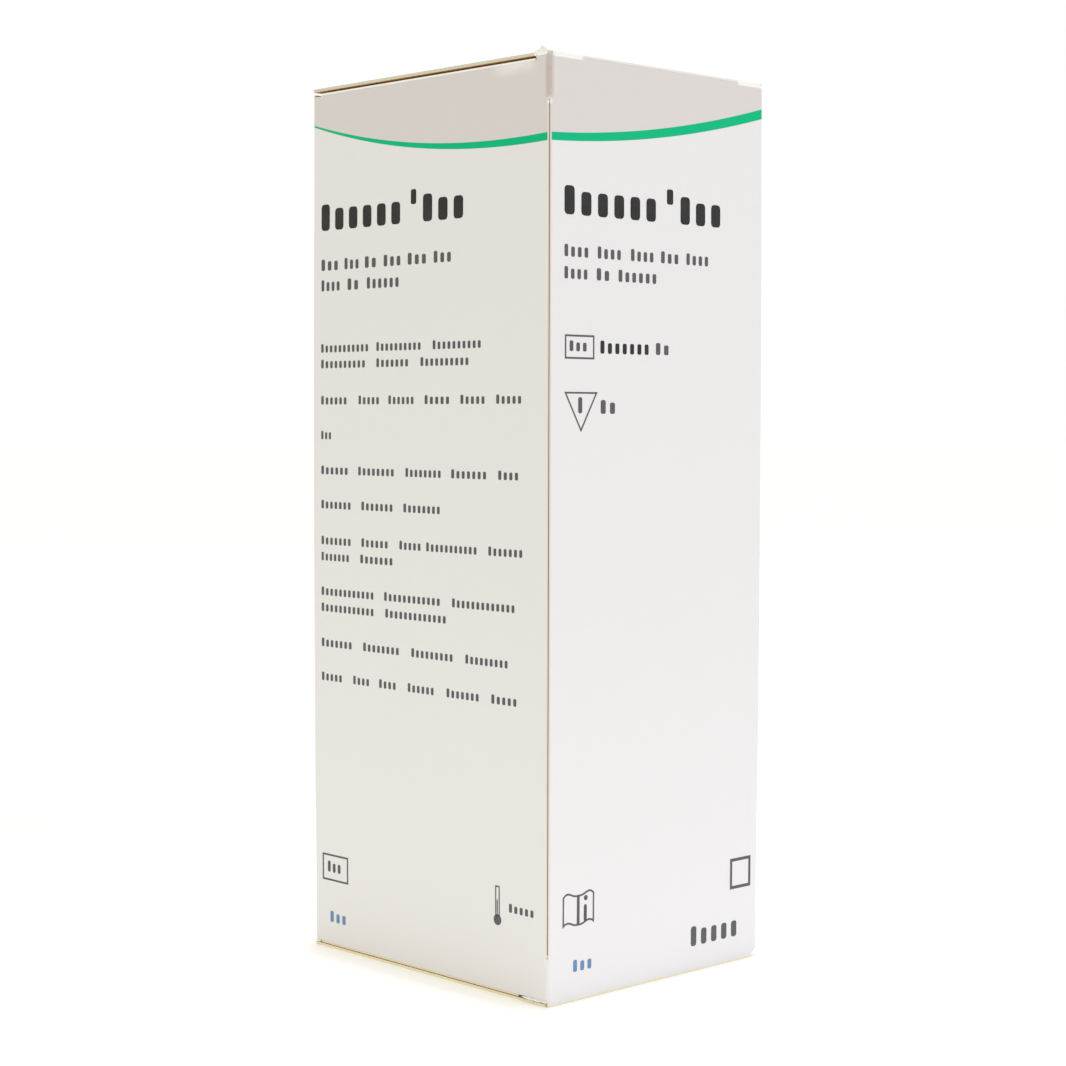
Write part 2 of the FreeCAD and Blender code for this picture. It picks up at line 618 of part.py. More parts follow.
STRIP_FLOOR_Z = SEAT_Z + TUBE_FOOT_HEIGHT + TUBE_FLOOR
STRIP_PITCH = STRIP_FILM + ZONE_THICKNESS + STRIP_ROW_GAP


def strip_places():
    """Lower left front corner of each strip. The middle columns take the odd ones."""
    share, spare = divmod(STRIP_COUNT, STRIP_COLUMNS)
    half_span = ((STRIP_COLUMNS - 1) * STRIP_COLUMN_PITCH + STRIP_WIDTH) / 2
    front = math.sqrt((TUBE_BORE - STRIP_WALL_PLAY) ** 2 - half_span ** 2)
    middle_y = TUBE_CENTRE_Y - front + share * STRIP_PITCH / 2
    for column in range(STRIP_COLUMNS):
        from_left = column - (STRIP_COLUMNS - 1) / 2
        from_middle = sorted(range(STRIP_COLUMNS), key=lambda c: abs(c - (STRIP_COLUMNS - 1) / 2))
        rows = share + (1 if column in from_middle[:spare] else 0)
        x = from_left * STRIP_COLUMN_PITCH - STRIP_WIDTH / 2
        first = middle_y - rows * STRIP_PITCH / 2
        for row in range(rows):
            yield Vector(x, first + row * STRIP_PITCH, STRIP_FLOOR_Z)


def strip_films():
    """Plastic films, one for each strip."""
    films = [Part.makeBox(STRIP_WIDTH, STRIP_FILM, STRIP_LENGTH, place) for place in strip_places()]
    return Part.makeCompound(films)


def test_zones():
    """Nine reagent pads in a row under one mesh, bonded to each film."""
    lift = Vector(0, STRIP_FILM, ZONE_START)
    zones = [Part.makeBox(STRIP_WIDTH, ZONE_THICKNESS, ZONE_LENGTH, place + lift) for place in strip_places()]
    return Part.makeCompound(zones)


def build():
    """Every node of the carton and its contents, by name."""
    shell = sleeve_shell()
    nodes = {
        "front_panel": front_panel(shell),
        "back_panel": back_panel(shell),
        "left_panel": side_panel(shell, -1),
        "right_panel": side_panel(shell, 1),
        "glue_tab": glue_tab(),
        "leaflet": leaflet(),
        "tube": tube(),
        "tube_label": tube_label(),
        "stopper": stopper(),
        "desiccant": desiccant(),
        "desiccant_disc": desiccant_disc(),
        "strip_films": strip_films(),
        "test_zones": test_zones(),
    }
    for name, end in (("top", TOP), ("bottom", BOTTOM)):
        nodes[name + "_lid"] = lid(end)
        nodes[name + "_tuck_flap"] = tuck_flap(end)
        nodes[name + "_dust_flap_left"] = dust_flap(end, -1)
        nodes[name + "_dust_flap_right"] = dust_flap(end, 1)
    nodes["bottom_lid"] = nodes["bottom_lid"].cut(lost_corner())
    return nodes


os.makedirs("parts", exist_ok=True)
for node_name, shape in build().items():
    shape.exportStep("parts/" + node_name + ".step")
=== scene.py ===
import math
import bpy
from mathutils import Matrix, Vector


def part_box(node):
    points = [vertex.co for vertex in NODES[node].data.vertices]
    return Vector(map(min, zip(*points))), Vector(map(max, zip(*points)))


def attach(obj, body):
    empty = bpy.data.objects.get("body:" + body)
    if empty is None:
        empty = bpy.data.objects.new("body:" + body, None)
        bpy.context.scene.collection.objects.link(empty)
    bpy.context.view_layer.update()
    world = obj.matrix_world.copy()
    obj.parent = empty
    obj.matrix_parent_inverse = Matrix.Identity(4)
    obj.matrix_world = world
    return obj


bl_info = {
    "name": "Test Strip Carton",
    "version": (1, 0, 0),
    "blender": (4, 5, 0),
    "location": "3D View > Sidebar > Carton",
    "description": "Dresses a folding carton of test strips and its contents, and sets it on a pale stage",
    "category": "Object",
}

import bpy
from bpy.props import FloatProperty, FloatVectorProperty, PointerProperty
from mathutils import Vector

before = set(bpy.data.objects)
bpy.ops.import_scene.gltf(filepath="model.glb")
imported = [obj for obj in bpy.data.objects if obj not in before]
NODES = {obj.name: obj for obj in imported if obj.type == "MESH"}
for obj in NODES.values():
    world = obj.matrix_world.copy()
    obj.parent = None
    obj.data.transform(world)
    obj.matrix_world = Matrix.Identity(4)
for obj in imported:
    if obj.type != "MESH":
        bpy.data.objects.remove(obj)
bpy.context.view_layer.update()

MM = 0.001
HALF_DEPTH = -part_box("top_lid")[0][1]
HALF_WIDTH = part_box("top_dust_flap_right")[1][0]
CARTON_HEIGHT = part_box("top_lid")[1][2]


# ---- values ----

def srgb(red, green, blue):
    """Linear colour from the 0 to 255 values that a swatch book gives."""
    def linear(value):
        value /= 255
        return value / 12.92 if value <= 0.04045 else ((value + 0.055) / 1.055) ** 2.4
    return linear(red), linear(green), linear(blue)


def colour(label, description, red, green, blue):
    return FloatVectorProperty(
        name=label, description=description, subtype="COLOR", size=3, min=0, max=1,
        default=srgb(red, green, blue))


def length(label, description, millimetres):
    return FloatProperty(
        name=label, description=description, unit="LENGTH", subtype="DISTANCE", precision=5,
        default=millimetres * MM)


class BoardValues(bpy.types.PropertyGroup):
    clay_white: colour("Clay coat", "White printed side of the board", 226, 225, 229)
    head_tint: colour("Head tint", "Pale grey printed above the sweeping band", 213, 208, 210)
    band_green: colour("Band", "Green of the sweeping band", 0, 181, 127)
    core_cream: colour("Core", "Raw fibre where the board is cut", 238, 229, 206)
    lid_edge: colour("Lid edge", "Raw fibre along the lid, greyed by handling", 210, 207, 188)
    score_fibre: colour("Score", "Fibre laid open by a half cut", 223, 214, 211)
    slit_brown: colour("Slit", "Shadowed bottom of a scored fold", 156, 133, 122)
    bare_back: colour("Back", "Uncoated inner side of the board", 226, 179, 130)
    # Rubbed coat: also the painted highlight on the lid's crease, its ends and the top flaps' nose, and
    # painted light on the crumpled corners.
    rubbed_and_highlight_white: colour("Rubbed coat", "Clay coat where a crease has lifted it", 244, 244, 243)
    # Fold shade: painted shade with rubbed ink on the near fold above the half cut.
    fold_shade: colour("Fold shade", "Handling tone on the fold above the half cut", 176, 162, 150)
    wall_bow: length("Wall bow", "How far each wall swells at half height", 0.22)
    score_depth: length("Score depth", "Depth of the half cut, along the diagonal of the corner", 0.36)
    score_low: length("Score start", "Height where the half cut starts", 7.9)
    score_high: length("Score end", "Height where the half cut ends", 134.4)
    band_height: length("Band height", "Top of the band at the fold between the two printed faces", 130.15)
    band_width: length("Band width", "Width of the band at that fold", 1.205)


class InkValues(bpy.types.PropertyGroup):
    ink_black: colour("Black ink", "Ink of the titles", 16, 16, 20)
    ink_grey: colour("Grey ink", "Ink of the small rows", 80, 80, 86)
    ink_blue: colour("Blue ink", "Ink of the small mark at the foot", 96, 128, 176)
    film: length("Ink film", "How far the ink stands off the board", 0.03)


class ContentsValues(bpy.types.PropertyGroup):
    tube_white: colour("Tube", "Moulded tube", 232, 235, 236)
    stopper_white: colour("Stopper", "Moulded stopper", 240, 240, 237)
    label_white: colour("Label", "Label paper", 244, 244, 243)
    gel_amber: colour("Desiccant", "Desiccant granules", 222, 208, 176)
    disc_grey: colour("Disc", "Card disc over the desiccant", 226, 220, 206)
    leaflet_white: colour("Leaflet", "Thin leaflet paper", 226, 226, 222)
    film_white: colour("Film", "Plastic film of a test strip", 232, 233, 231)


class StageValues(bpy.types.PropertyGroup):
    floor_white: colour("Floor", "Floor and backdrop", 254, 254, 254)
    shaded_side: colour("Shaded side", "Tone of the room's light from the left", 236, 231, 204)
    floor_glow: FloatProperty(
        name="Floor glow", description="Light that the floor gives off itself", default=0.4)
    glow_far: FloatProperty(
        name="Far glow", description="Share of the glow left away from the carton", default=0.27)
    glow_reach: length("Glow reach", "How far from the walls the lit part of the floor goes", 120.0)
    camera_place: FloatVectorProperty(
        name="Camera", description="Place of the camera", unit="LENGTH", subtype="TRANSLATION", size=3,
        default=(-0.25221, -0.26349, 0.08833))
    camera_turn: FloatVectorProperty(
        name="Camera turn", description="Rotation of the camera", unit="ROTATION", subtype="EULER", size=3,
        default=(math.radians(87.011), math.radians(-0.136), math.radians(-43.693)))
    camera_lens: FloatProperty(
        name="Lens", description="Focal length on a 36 mm sensor", unit="CAMERA", default=74.943)
    key_power: FloatProperty(
        name="Key light", description="Power of the large soft light at the front", unit="POWER",
        default=1.25)
    fill_power: FloatProperty(
        name="Fill light", description="Power of the soft light on the left", unit="POWER", default=0.3)
    room_light: FloatProperty(
        name="Room light", description="Strength of the even white light all round", default=0.99)


# ---- shader nodes ----

def feed(tree, socket, value):
    """Joins another node's output to a socket, or gives it a plain value."""
    if isinstance(value, bpy.types.NodeSocket):
        tree.links.new(value, socket)
    else:
        socket.default_value = (*value, 1.0) if socket.type == "RGBA" else value


def place(tree, kind, settings=None, **sockets):
    """Adds a node and feeds the sockets named here. i0 is its first socket, i1 the next."""
    node = tree.nodes.new(kind)
    for key, value in (settings or {}).items():
        setattr(node, key, value)
    for key, value in sockets.items():
        feed(tree, node.inputs[int(key[1:]) if key[0] == "i" and key[1:].isdigit() else key], value)
    return node


def sums(tree, operation, first, second=0.0, third=0.0, clamp=False):
    """One Math node's result."""
    node = place(
        tree, "ShaderNodeMath", {"operation": operation, "use_clamp": clamp}, i0=first, i1=second, i2=third)
    return node.outputs[0]


def levels(tree, value, gain, base, clamp=False):
    """A value times its gain, up from a base."""
    return sums(tree, "MULTIPLY_ADD", value, gain, base, clamp)


def within(tree, value, low, high, soft):
    """1 where low < value < high, with soft ends."""
    ends = []
    for edge, start, end in ((low, 0.0, 1.0), (high, 1.0, 0.0)):
        from_value, to_value = [
            sums(tree, "ADD", edge, level) if isinstance(edge, bpy.types.NodeSocket) else edge + level
            for level in (-soft, soft)]
        ends.append(ramped(tree, value, from_value, to_value, start, end))
    return sums(tree, "MULTIPLY", *ends)


def ramped(tree, value, low, high, start=1.0, end=0.0):
    """Smooth change from start to end while the value goes from low to high."""
    ramp = place(
        tree, "ShaderNodeMapRange", {"interpolation_type": "SMOOTHSTEP"},
        **{"Value": value, "From Min": low, "From Max": high, "To Min": start, "To Max": end})
    return ramp.outputs[0]


def blend_colour(tree, factor, first, second):
    """The first colour where the factor is 0, the second where it is 1."""
    return place(tree, "ShaderNodeMix", {"data_type": "RGBA"}, i0=factor, i6=first, i7=second).outputs[2]


def effect(name, inputs, outputs):
    """An empty shader node group with named sockets, and its input and output nodes."""
    tree = bpy.data.node_groups.new(name, "ShaderNodeTree")
    for label, kind, value in inputs:
        socket = tree.interface.new_socket(label, in_out="INPUT", socket_type=kind)
        socket.default_value = value
    for label, kind in outputs:
        tree.interface.new_socket(label, in_out="OUTPUT", socket_type=kind)
    return tree, tree.nodes.new("NodeGroupInput"), tree.nodes.new("NodeGroupOutput")


def give(tree, result, **values):
    """Joins what an effect has worked out to its named outputs."""
    for label, value in values.items():
        tree.links.new(value, result.inputs[label])


def shades(tree, factor, tone, dark, light):
    """Between a darker and a lighter version of one tone."""
    return blend_colour(
        tree, factor, tuple(c * dark for c in tone), tuple(min(1, c * light) for c in tone))


def coordinate(tree, kind="Object"):
    return place(tree, "ShaderNodeTexCoord").outputs[kind]


def split(tree, vector):
    """X, Y and Z of a vector."""
    return place(tree, "ShaderNodeSeparateXYZ", Vector=vector).outputs[:3]


def axes(tree):
    """The point on the piece, and its X, Y and Z."""
    spot = coordinate(tree)
    return spot, *split(tree, spot)


def noise(tree, spot, scale, detail, roughness=0.5):
    return place(
        tree, "ShaderNodeTexNoise", Vector=spot, Scale=scale, Detail=detail, Roughness=roughness).outputs[0]


FLOAT, VECTOR = "NodeSocketFloat", "NodeSocketVector"
# How squarely a face looks one way, where 1 is straight at it and -1 is straight away.
SQUARELY = 0.5          # a flat side
ROUND_CREASE = 0.1      # the rounded nose of a crease, over to its crown
NEARLY_AWAY = -0.7      # where the print on that nose ends
SIDE_WALL = 0.72        # a left or right wall, up to its folds
CUT_CORNER = 0.6        # both ways at once, on the half cut's slanting face
FLAT_FOLD = 0.9         # the leaflet's flat folds, without its round ones


def board_sides():
    """Tells a board's printed side and bare back from its cut edges. The print goes on round a crease."""
    tree, given, result = effect(
        "Board sides", [("Outward", VECTOR, (0, -1, 0)), ("Crease", VECTOR, (0, 0, 0))],
        [("Printed", FLOAT), ("Back", FLOAT)])
    facing = coordinate(tree, "Normal")
    towards, creased = [
        place(tree, "ShaderNodeVectorMath", {"operation": "DOT_PRODUCT"}, i0=facing, i1=way).outputs["Value"]
        for way in given.outputs[:2]]
    round_crease = sums(tree, "MULTIPLY", sums(tree, "GREATER_THAN", creased, ROUND_CREASE),
                        sums(tree, "GREATER_THAN", towards, NEARLY_AWAY))
    printed = sums(tree, "MAXIMUM", sums(tree, "GREATER_THAN", towards, SQUARELY), round_crease)
    away = sums(tree, "LESS_THAN", towards, -SQUARELY)
    back = sums(tree, "MULTIPLY", away, sums(tree, "SUBTRACT", 1.0, printed))
    give(tree, result, Printed=printed, Back=back)
    return tree


# The band's upper edge and width, in millimetres for each power of its steps round the carton.
BAND_STEP = 50 * MM
BAND_RISE = (2.42, 6.51, -0.45)
BAND_WIDENS = (0.495, -0.185, 0.085)
PRINT_EDGE = 0.05 * MM      # softness of a printed edge


def sweeping_band(board):
    """The green band that swings over two faces, and the tint above it. It repeats on the other two."""
    tree, _, result = effect("Sweeping band", [], [("Band", FLOAT), ("Above", FLOAT)])
    _, x, y, z = axes(tree)
    turn_x, turn_y, _ = split(tree, coordinate(tree, "Normal"))
    # Distance round the carton from the near fold, to the right over the front and to the left over the side.
    side_wall = sums(tree, "GREATER_THAN", sums(tree, "ABSOLUTE", turn_x), SIDE_WALL)
    front_half, left_half = [
        sums(tree, "SUBTRACT", 1.0, sums(tree, "MULTIPLY", sums(tree, "GREATER_THAN", turn, SQUARELY), 2.0))
        for turn in (turn_y, turn_x)]
    over_front = sums(tree, "MULTIPLY_ADD", x, front_half, HALF_WIDTH)
    over_side = sums(tree, "MULTIPLY", sums(tree, "MULTIPLY_ADD", y, left_half, HALF_DEPTH), -1.0)
    gone = place(tree, "ShaderNodeMix", {"data_type": "FLOAT"}, i0=side_wall, i2=over_front, i3=over_side)
    step = sums(tree, "DIVIDE", gone.outputs[0], BAND_STEP)

    def curve(at_fold, powers):
        total = powers[-1] * MM
        for value in powers[-2::-1]:
            total = sums(tree, "MULTIPLY_ADD", total, step, value * MM)
        return sums(tree, "MULTIPLY_ADD", total, step, at_fold)

    top = curve(board.band_height, BAND_RISE)
    width = curve(board.band_width, BAND_WIDENS)
    bottom = sums(tree, "SUBTRACT", top, width)
    band = within(tree, sums(tree, "SUBTRACT", z, bottom), 0.0, width, PRINT_EDGE)
    give(tree, result, Band=band, Above=sums(tree, "GREATER_THAN", z, top))
    return tree


SLIT_MARGIN = 0.03 * MM     # how far past the half cut's depth the slit's dark bottom starts
# Wear of the near fold above its half cut, and a painted shade with rubbed ink on that fold. Fades go inward
# from the corner, from full to none. Spans go up from the half cut's end, and the shaded one stops short of
# the carton's top.
FLAKE_FADE = (0.3 * MM, 0.5 * MM)
FLAKE_SPAN = (-0.1 * MM, 0.7 * MM)
FLAKE_SOFT = 0.15 * MM
SHADE_AND_RUB_FADE = (0.28 * MM, 0.8 * MM)
SHADE_AND_RUB_START, SHADE_AND_RUB_STOP, SHADE_AND_RUB_SOFT = 0.9 * MM, 0.4 * MM, 0.5 * MM


def fold_score(board):
    """The half cut along the upright folds, the slit at its bottom, and above the near one flaked coat and a
    painted shade with rubbed ink.
    """
    tree, given, result = effect(
        "Fold score", [("Depth", FLOAT, board.score_depth)],
        [("Score", FLOAT), ("Slit", FLOAT), ("Lifted", FLOAT), ("Handled", FLOAT)])
    _, x, y, z = axes(tree)
    middle = CARTON_HEIGHT / 2
    level = sums(tree, "DIVIDE", sums(tree, "SUBTRACT", z, middle), middle)
    bow = sums(tree, "MULTIPLY_ADD", sums(tree, "MULTIPLY", level, level), -board.wall_bow, board.wall_bow)
    gap_x, gap_y = [
        sums(tree, "SUBTRACT", sums(tree, "ADD", bow, half), sums(tree, "ABSOLUTE", way))
        for way, half in ((x, HALF_WIDTH), (y, HALF_DEPTH))]
    inward = sums(tree, "DIVIDE", sums(tree, "ADD", gap_x, gap_y), math.sqrt(2))
    turn_x, turn_y, _ = split(tree, coordinate(tree, "Normal"))
    least = sums(tree, "MINIMUM", sums(tree, "ABSOLUTE", turn_x), sums(tree, "ABSOLUTE", turn_y))
    cut = sums(tree, "GREATER_THAN", least, CUT_CORNER)
    score = sums(tree, "MULTIPLY", cut, within(tree, z, board.score_low, board.score_high, PRINT_EDGE))
    deep = sums(tree, "GREATER_THAN", inward, sums(tree, "ADD", given.outputs["Depth"], SLIT_MARGIN))
    start = board.score_high
    lifted = within(tree, z, *(start + end for end in FLAKE_SPAN), FLAKE_SOFT)
    lifted = sums(tree, "MULTIPLY", ramped(tree, inward, *FLAKE_FADE), lifted)
    shade_and_rub = within(tree, z, start + SHADE_AND_RUB_START, CARTON_HEIGHT - SHADE_AND_RUB_STOP, SHADE_AND_RUB_SOFT)
    near_fold = sums(tree, "LESS_THAN", sums(tree, "ADD", x, y), -HALF_WIDTH)
    shade_and_rub = sums(tree, "MULTIPLY", shade_and_rub, near_fold)
    shade_and_rub = sums(tree, "MULTIPLY", ramped(tree, inward, *SHADE_AND_RUB_FADE), shade_and_rub)
    give(tree, result, Score=score, Slit=sums(tree, "MULTIPLY", score, deep), Lifted=lifted, Handled=shade_and_rub)
    return tree


def paper_fibre():
    """Fine tooth, formation clouds and a slow unevenness of board or paper."""
    tree, given, result = effect(
        "Paper fibre", [("Tooth", FLOAT, 2600.0), ("Cloud", FLOAT, 60.0)],
        [("Height", FLOAT), ("Tone", FLOAT)])
    spot = coordinate(tree)
    tooth = noise(tree, spot, given.outputs["Tooth"], 3.0, 0.6)
    cloud = noise(tree, spot, given.outputs["Cloud"], 4.0, 0.55)
    slow = noise(tree, spot, 22.0, 2.0)
    tooth_share, cloud_share, slow_share = 0.35, 0.5, 1.6
    height = sums(tree, "MULTIPLY_ADD", tooth, tooth_share, sums(tree, "MULTIPLY", slow, slow_share))
    give(tree, result, Height=sums(tree, "MULTIPLY_ADD", cloud, cloud_share, height), Tone=cloud)
    return tree


def grouped(tree, group, **sockets):
    return place(tree, "ShaderNodeGroup", {"node_tree": group}, **sockets)


def finish(name):
    """A new material with its shader."""
    material = bpy.data.materials.new(name)
    material.use_nodes = True
    shader = material.node_tree.nodes["Principled BSDF"]
    return material, material.node_tree, shader


def surface(tree, shader, tone, roughness, height, depth, strength=1.0):
    """Colour, roughness and fine relief of a finish."""
    feed(tree, shader.inputs["Base Color"], tone)
    feed(tree, shader.inputs["Roughness"], roughness)
    bump = place(tree, "ShaderNodeBump", Strength=strength, Distance=depth, Height=height)
    feed(tree, shader.inputs["Normal"], bump.outputs[0])


def dress(name, material):
    """Gives a CAD node its material."""
    slots = NODES[name].data.materials
    slots.clear()
    slots.append(material)


# ---- meshes ----

def rest():
    """Nothing selected, object mode."""
    if bpy.context.object and bpy.context.object.mode != "OBJECT":
        bpy.ops.object.mode_set(mode="OBJECT")
    bpy.ops.object.select_all(action="DESELECT")


def pick(*pieces):
    rest()
    for piece in pieces:
        piece.select_set(True)
    bpy.context.view_layer.objects.active = pieces[0]


def settle():
    bpy.ops.object.transform_apply(location=True, rotation=True, scale=True)


def applied(piece, name, kind, **settings):
    """Adds a modifier to the picked piece and applies it."""
    modifier = piece.modifiers.new(name, kind)
    for key, value in settings.items():
        setattr(modifier, key, value)
    bpy.ops.object.modifier_apply(modifier=name)


def joined(name, pieces):
    pick(*pieces)
    if len(pieces) > 1:
        bpy.ops.object.join()
    piece = bpy.context.object
    piece.name = piece.data.name = name
    return piece


# ---- boards ----

# Node: printed side and the way that its crease faces. The walls that carry a lid also have the end with its
# crease and the raw end that the other lid covers.
BOARDS = {
    "front_panel": ((0, -1, 0), (0, 0, 0), "top", "bottom"),
    "back_panel": ((0, 1, 0), (0, 0, 0), "bottom", "top"),
    "left_panel": ((-1, 0, 0), (0, 0, 0)),
    "right_panel": ((1, 0, 0), (0, 0, 0)),
    "glue_tab": ((1, 0, 0), (0, 0, 0)),
    "top_lid": ((0, 0, 1), (0, -1, 0)),
    "top_tuck_flap": ((0, 1, 0), (0, 0, 1)),
    "top_dust_flap_left": ((0, 0, 1), (-1, 0, 0)),
    "top_dust_flap_right": ((0, 0, 1), (1, 0, 0)),
    "bottom_lid": ((0, 0, -1), (0, 1, 0)),
    "bottom_tuck_flap": ((0, -1, 0), (0, 0, -1)),
    "bottom_dust_flap_left": ((0, 0, -1), (-1, 0, 0)),
    "bottom_dust_flap_right": ((0, 0, -1), (1, 0, 0)),
}


# Wear, a paler patch and painted highlights of the board. Spans go along X or Y, reaches and depths in from
# an edge or an end.
HIGHLIGHT_SPANS = ((-23.2 * MM, -17.2 * MM), (17.8 * MM, 26 * MM))
HIGHLIGHT_SOFT = 0.5 * MM
HIGHLIGHT_REACH, HIGHLIGHT_FADE = 0.7 * MM, 0.2 * MM
HIGHLIGHT_LEAST = 0.4      # share of the painted highlight that the lid's crease has all along
CREASE_WIDTH = 0.6 * MM
PALE_PATCH_SPAN, PALE_PATCH_SOFT = (-24.5 * MM, -16.5 * MM), 1.6 * MM
PALE_PATCH_REACH, PALE_PATCH_FADE = 2.2 * MM, 1.2 * MM
NOSE_DEPTH = 0.5 * MM
TEAR_DEPTH, TEAR_START = 0.8 * MM, -0.1 * MM
PAST_END = -10 * MM     # well outside the carton
PRINT_DARK = 0.985      # share of a printed tone where the fibre clouds it most


def near_end(tree, height, end, reach, soft):
    """1 within reach of the carton's top or bottom."""
    gap = sums(tree, "SUBTRACT", CARTON_HEIGHT, height) if end == "top" else height
    return within(tree, gap, PAST_END, reach, soft)


def highlight_spans(tree, across):
    """1 along the stretches of the lid's crease that get a painted highlight, one at each end."""
    return sums(tree, "MAXIMUM", *(within(tree, across, *span, HIGHLIGHT_SOFT) for span in HIGHLIGHT_SPANS))


def wall_print(tree, groups, board, spot, tone, ply, face):
    """Tint, band and half-cut folds of a wall. Gives its colour and the band's mask."""
    band = grouped(tree, groups["band"])
    score = grouped(tree, groups["score"], Depth=board.score_depth)
    face = blend_colour(
        tree, band.outputs["Above"], face, shades(tree, tone, board.head_tint, PRINT_DARK, 1.0))
    face = blend_colour(tree, band.outputs["Band"], face, board.band_green)
    # Painted shade with rubbed ink on the near fold above its half cut, patchy with the rub noise.
    rub = levels(tree, noise(tree, spot, 1400.0, 4.0, 0.6), gain=0.5, base=0.35)
    shade_and_rub = sums(tree, "MULTIPLY", score.outputs["Handled"], rub)
    face = blend_colour(tree, shade_and_rub, face, board.fold_shade)
    face = blend_colour(tree, score.outputs["Score"], face, shades(tree, ply, board.score_fibre, 0.9, 1.06))
    face = blend_colour(tree, score.outputs["Slit"], face, board.slit_brown)
    flakes = levels(tree, noise(tree, spot, 2600.0, 2.0), gain=7.0, base=-2.9, clamp=True)
    flaked = sums(tree, "MULTIPLY", score.outputs["Lifted"], flakes)
    return blend_colour(tree, flaked, face, board.rubbed_and_highlight_white), band.outputs["Band"]


def pale_patch(tree, spot, y, z):
    """The pale patch under the lid beside the near fold."""
    patch = sums(tree, "MULTIPLY", near_end(tree, z, "top", PALE_PATCH_REACH, PALE_PATCH_FADE),
                 within(tree, y, *PALE_PATCH_SPAN, PALE_PATCH_SOFT))
    patchy = levels(tree, noise(tree, spot, 420.0, 2.0), gain=1.1, base=-0.05, clamp=True)
    return sums(tree, "MULTIPLY", patch, patchy)


def ragged_end(tree, spot, z, box, raw_end):
    """1 along the torn print at a wall's raw end."""
    gap = sums(tree, "SUBTRACT", box[1][2], z) if raw_end == "top" else sums(tree, "SUBTRACT", z, box[0][2])
    ragged = sums(tree, "MULTIPLY_ADD", noise(tree, spot, 700.0, 3.0), TEAR_DEPTH, TEAR_START)
    return sums(tree, "LESS_THAN", gap, ragged)


def printed_board(name, groups, board, outward, crease, lid_end=None, raw_end=None):
    """Folding boxboard: printed clay coat outside, raw core at its edges, uncoated back inside."""
    material, tree, shader = finish(name.replace("_", " ") + " board")
    sides = grouped(tree, groups["sides"], Outward=outward, Crease=crease)
    fibre = grouped(tree, groups["fibre"], Tooth=2600.0, Cloud=70.0)
    spot, x, y, z = axes(tree)
    tone = levels(tree, fibre.outputs["Tone"], gain=0.5, base=0.1, clamp=True)
    ply = noise(tree, spot, 5200.0, 4.0, 0.7)
    ground, edge = board.clay_white, board.core_cream
    if name == "top_lid":
        ground, edge = board.head_tint, board.lid_edge
    face = shades(tree, tone, ground, PRINT_DARK, 1.0)
    torn = shades(tree, ply, board.core_cream, 0.78, 1.02)
    varnish = sides.outputs["Printed"]
    if name.endswith("_panel"):
        face, band = wall_print(tree, groups, board, spot, tone, ply, face)
        varnish = sums(tree, "SUBTRACT", varnish, band, clamp=True)
    if name == "left_panel":
        face = blend_colour(tree, pale_patch(tree, spot, y, z), face, board.rubbed_and_highlight_white)
    # The crease's end of a lidded wall gets a painted highlight near each corner.
    if lid_end:
        lifted = sums(tree, "MULTIPLY", near_end(tree, z, lid_end, HIGHLIGHT_REACH, HIGHLIGHT_FADE),
                      highlight_spans(tree, x))
        face = blend_colour(tree, lifted, face, board.rubbed_and_highlight_white)
    # Painted highlight along the lid's crease, strongest near each end.
    if name == "top_lid":
        crease_line = sums(tree, "LESS_THAN", y, CREASE_WIDTH - HALF_DEPTH)
        crease_highlight = sums(tree, "MULTIPLY_ADD", highlight_spans(tree, x), 1 - HIGHLIGHT_LEAST, HIGHLIGHT_LEAST)
        face = blend_colour(tree, sums(tree, "MULTIPLY", crease_line, crease_highlight), face, board.rubbed_and_highlight_white)
    if raw_end:
        face = blend_colour(tree, ragged_end(tree, spot, z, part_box(name), raw_end), face, torn)
    # A top flap's crease nose gets a painted highlight; a bottom flap's shows raw fibre.
    if "dust_flap" in name:
        nose = sums(tree, "GREATER_THAN", sums(tree, "ABSOLUTE", x), HALF_WIDTH - NOSE_DEPTH)
        face = blend_colour(tree, nose, face, board.rubbed_and_highlight_white if name.startswith("top") else torn)
    skin = blend_colour(tree, sides.outputs["Printed"], shades(tree, ply, edge, 0.88, 1.06), face)
    back = shades(tree, fibre.outputs["Tone"], board.bare_back, 0.9, 1.08)
    skin = blend_colour(tree, sides.outputs["Back"], skin, back)
    matt = levels(tree, sides.outputs["Printed"], gain=-0.42, base=0.9)
    rough = levels(tree, fibre.outputs["Tone"], gain=0.08, base=matt)
    surface(tree, shader, skin, rough, fibre.outputs["Height"], 0.03 * MM, 0.45)
    feed(tree, shader.inputs["Coat Weight"], sums(tree, "MULTIPLY", varnish, 0.08))
    feed(tree, shader.inputs["Coat Roughness"], 0.34)
    feed(tree, shader.inputs["Specular IOR Level"], 0.1)
    return material


# Name: half sizes, middle, taper to a peak and depth of the crumpling, millimetres but for the taper.
CRUSHED = {
    "crushed_tip": ((0.36, 1.25, 0.72), (-23.8, -26.2, 142.1), 1.6, 0.6),
    "crushed_foot": ((0.24, 2.8, 0.17), (-24.08, -25.1, 0.76), 0.0, 0.24),
    "crushed_heel": ((0.24, 0.75, 0.17), (-24.02, 27.1, 0.76), 0.0, 0.2),
}
CRUMPLE_SIZE = 0.7 * MM


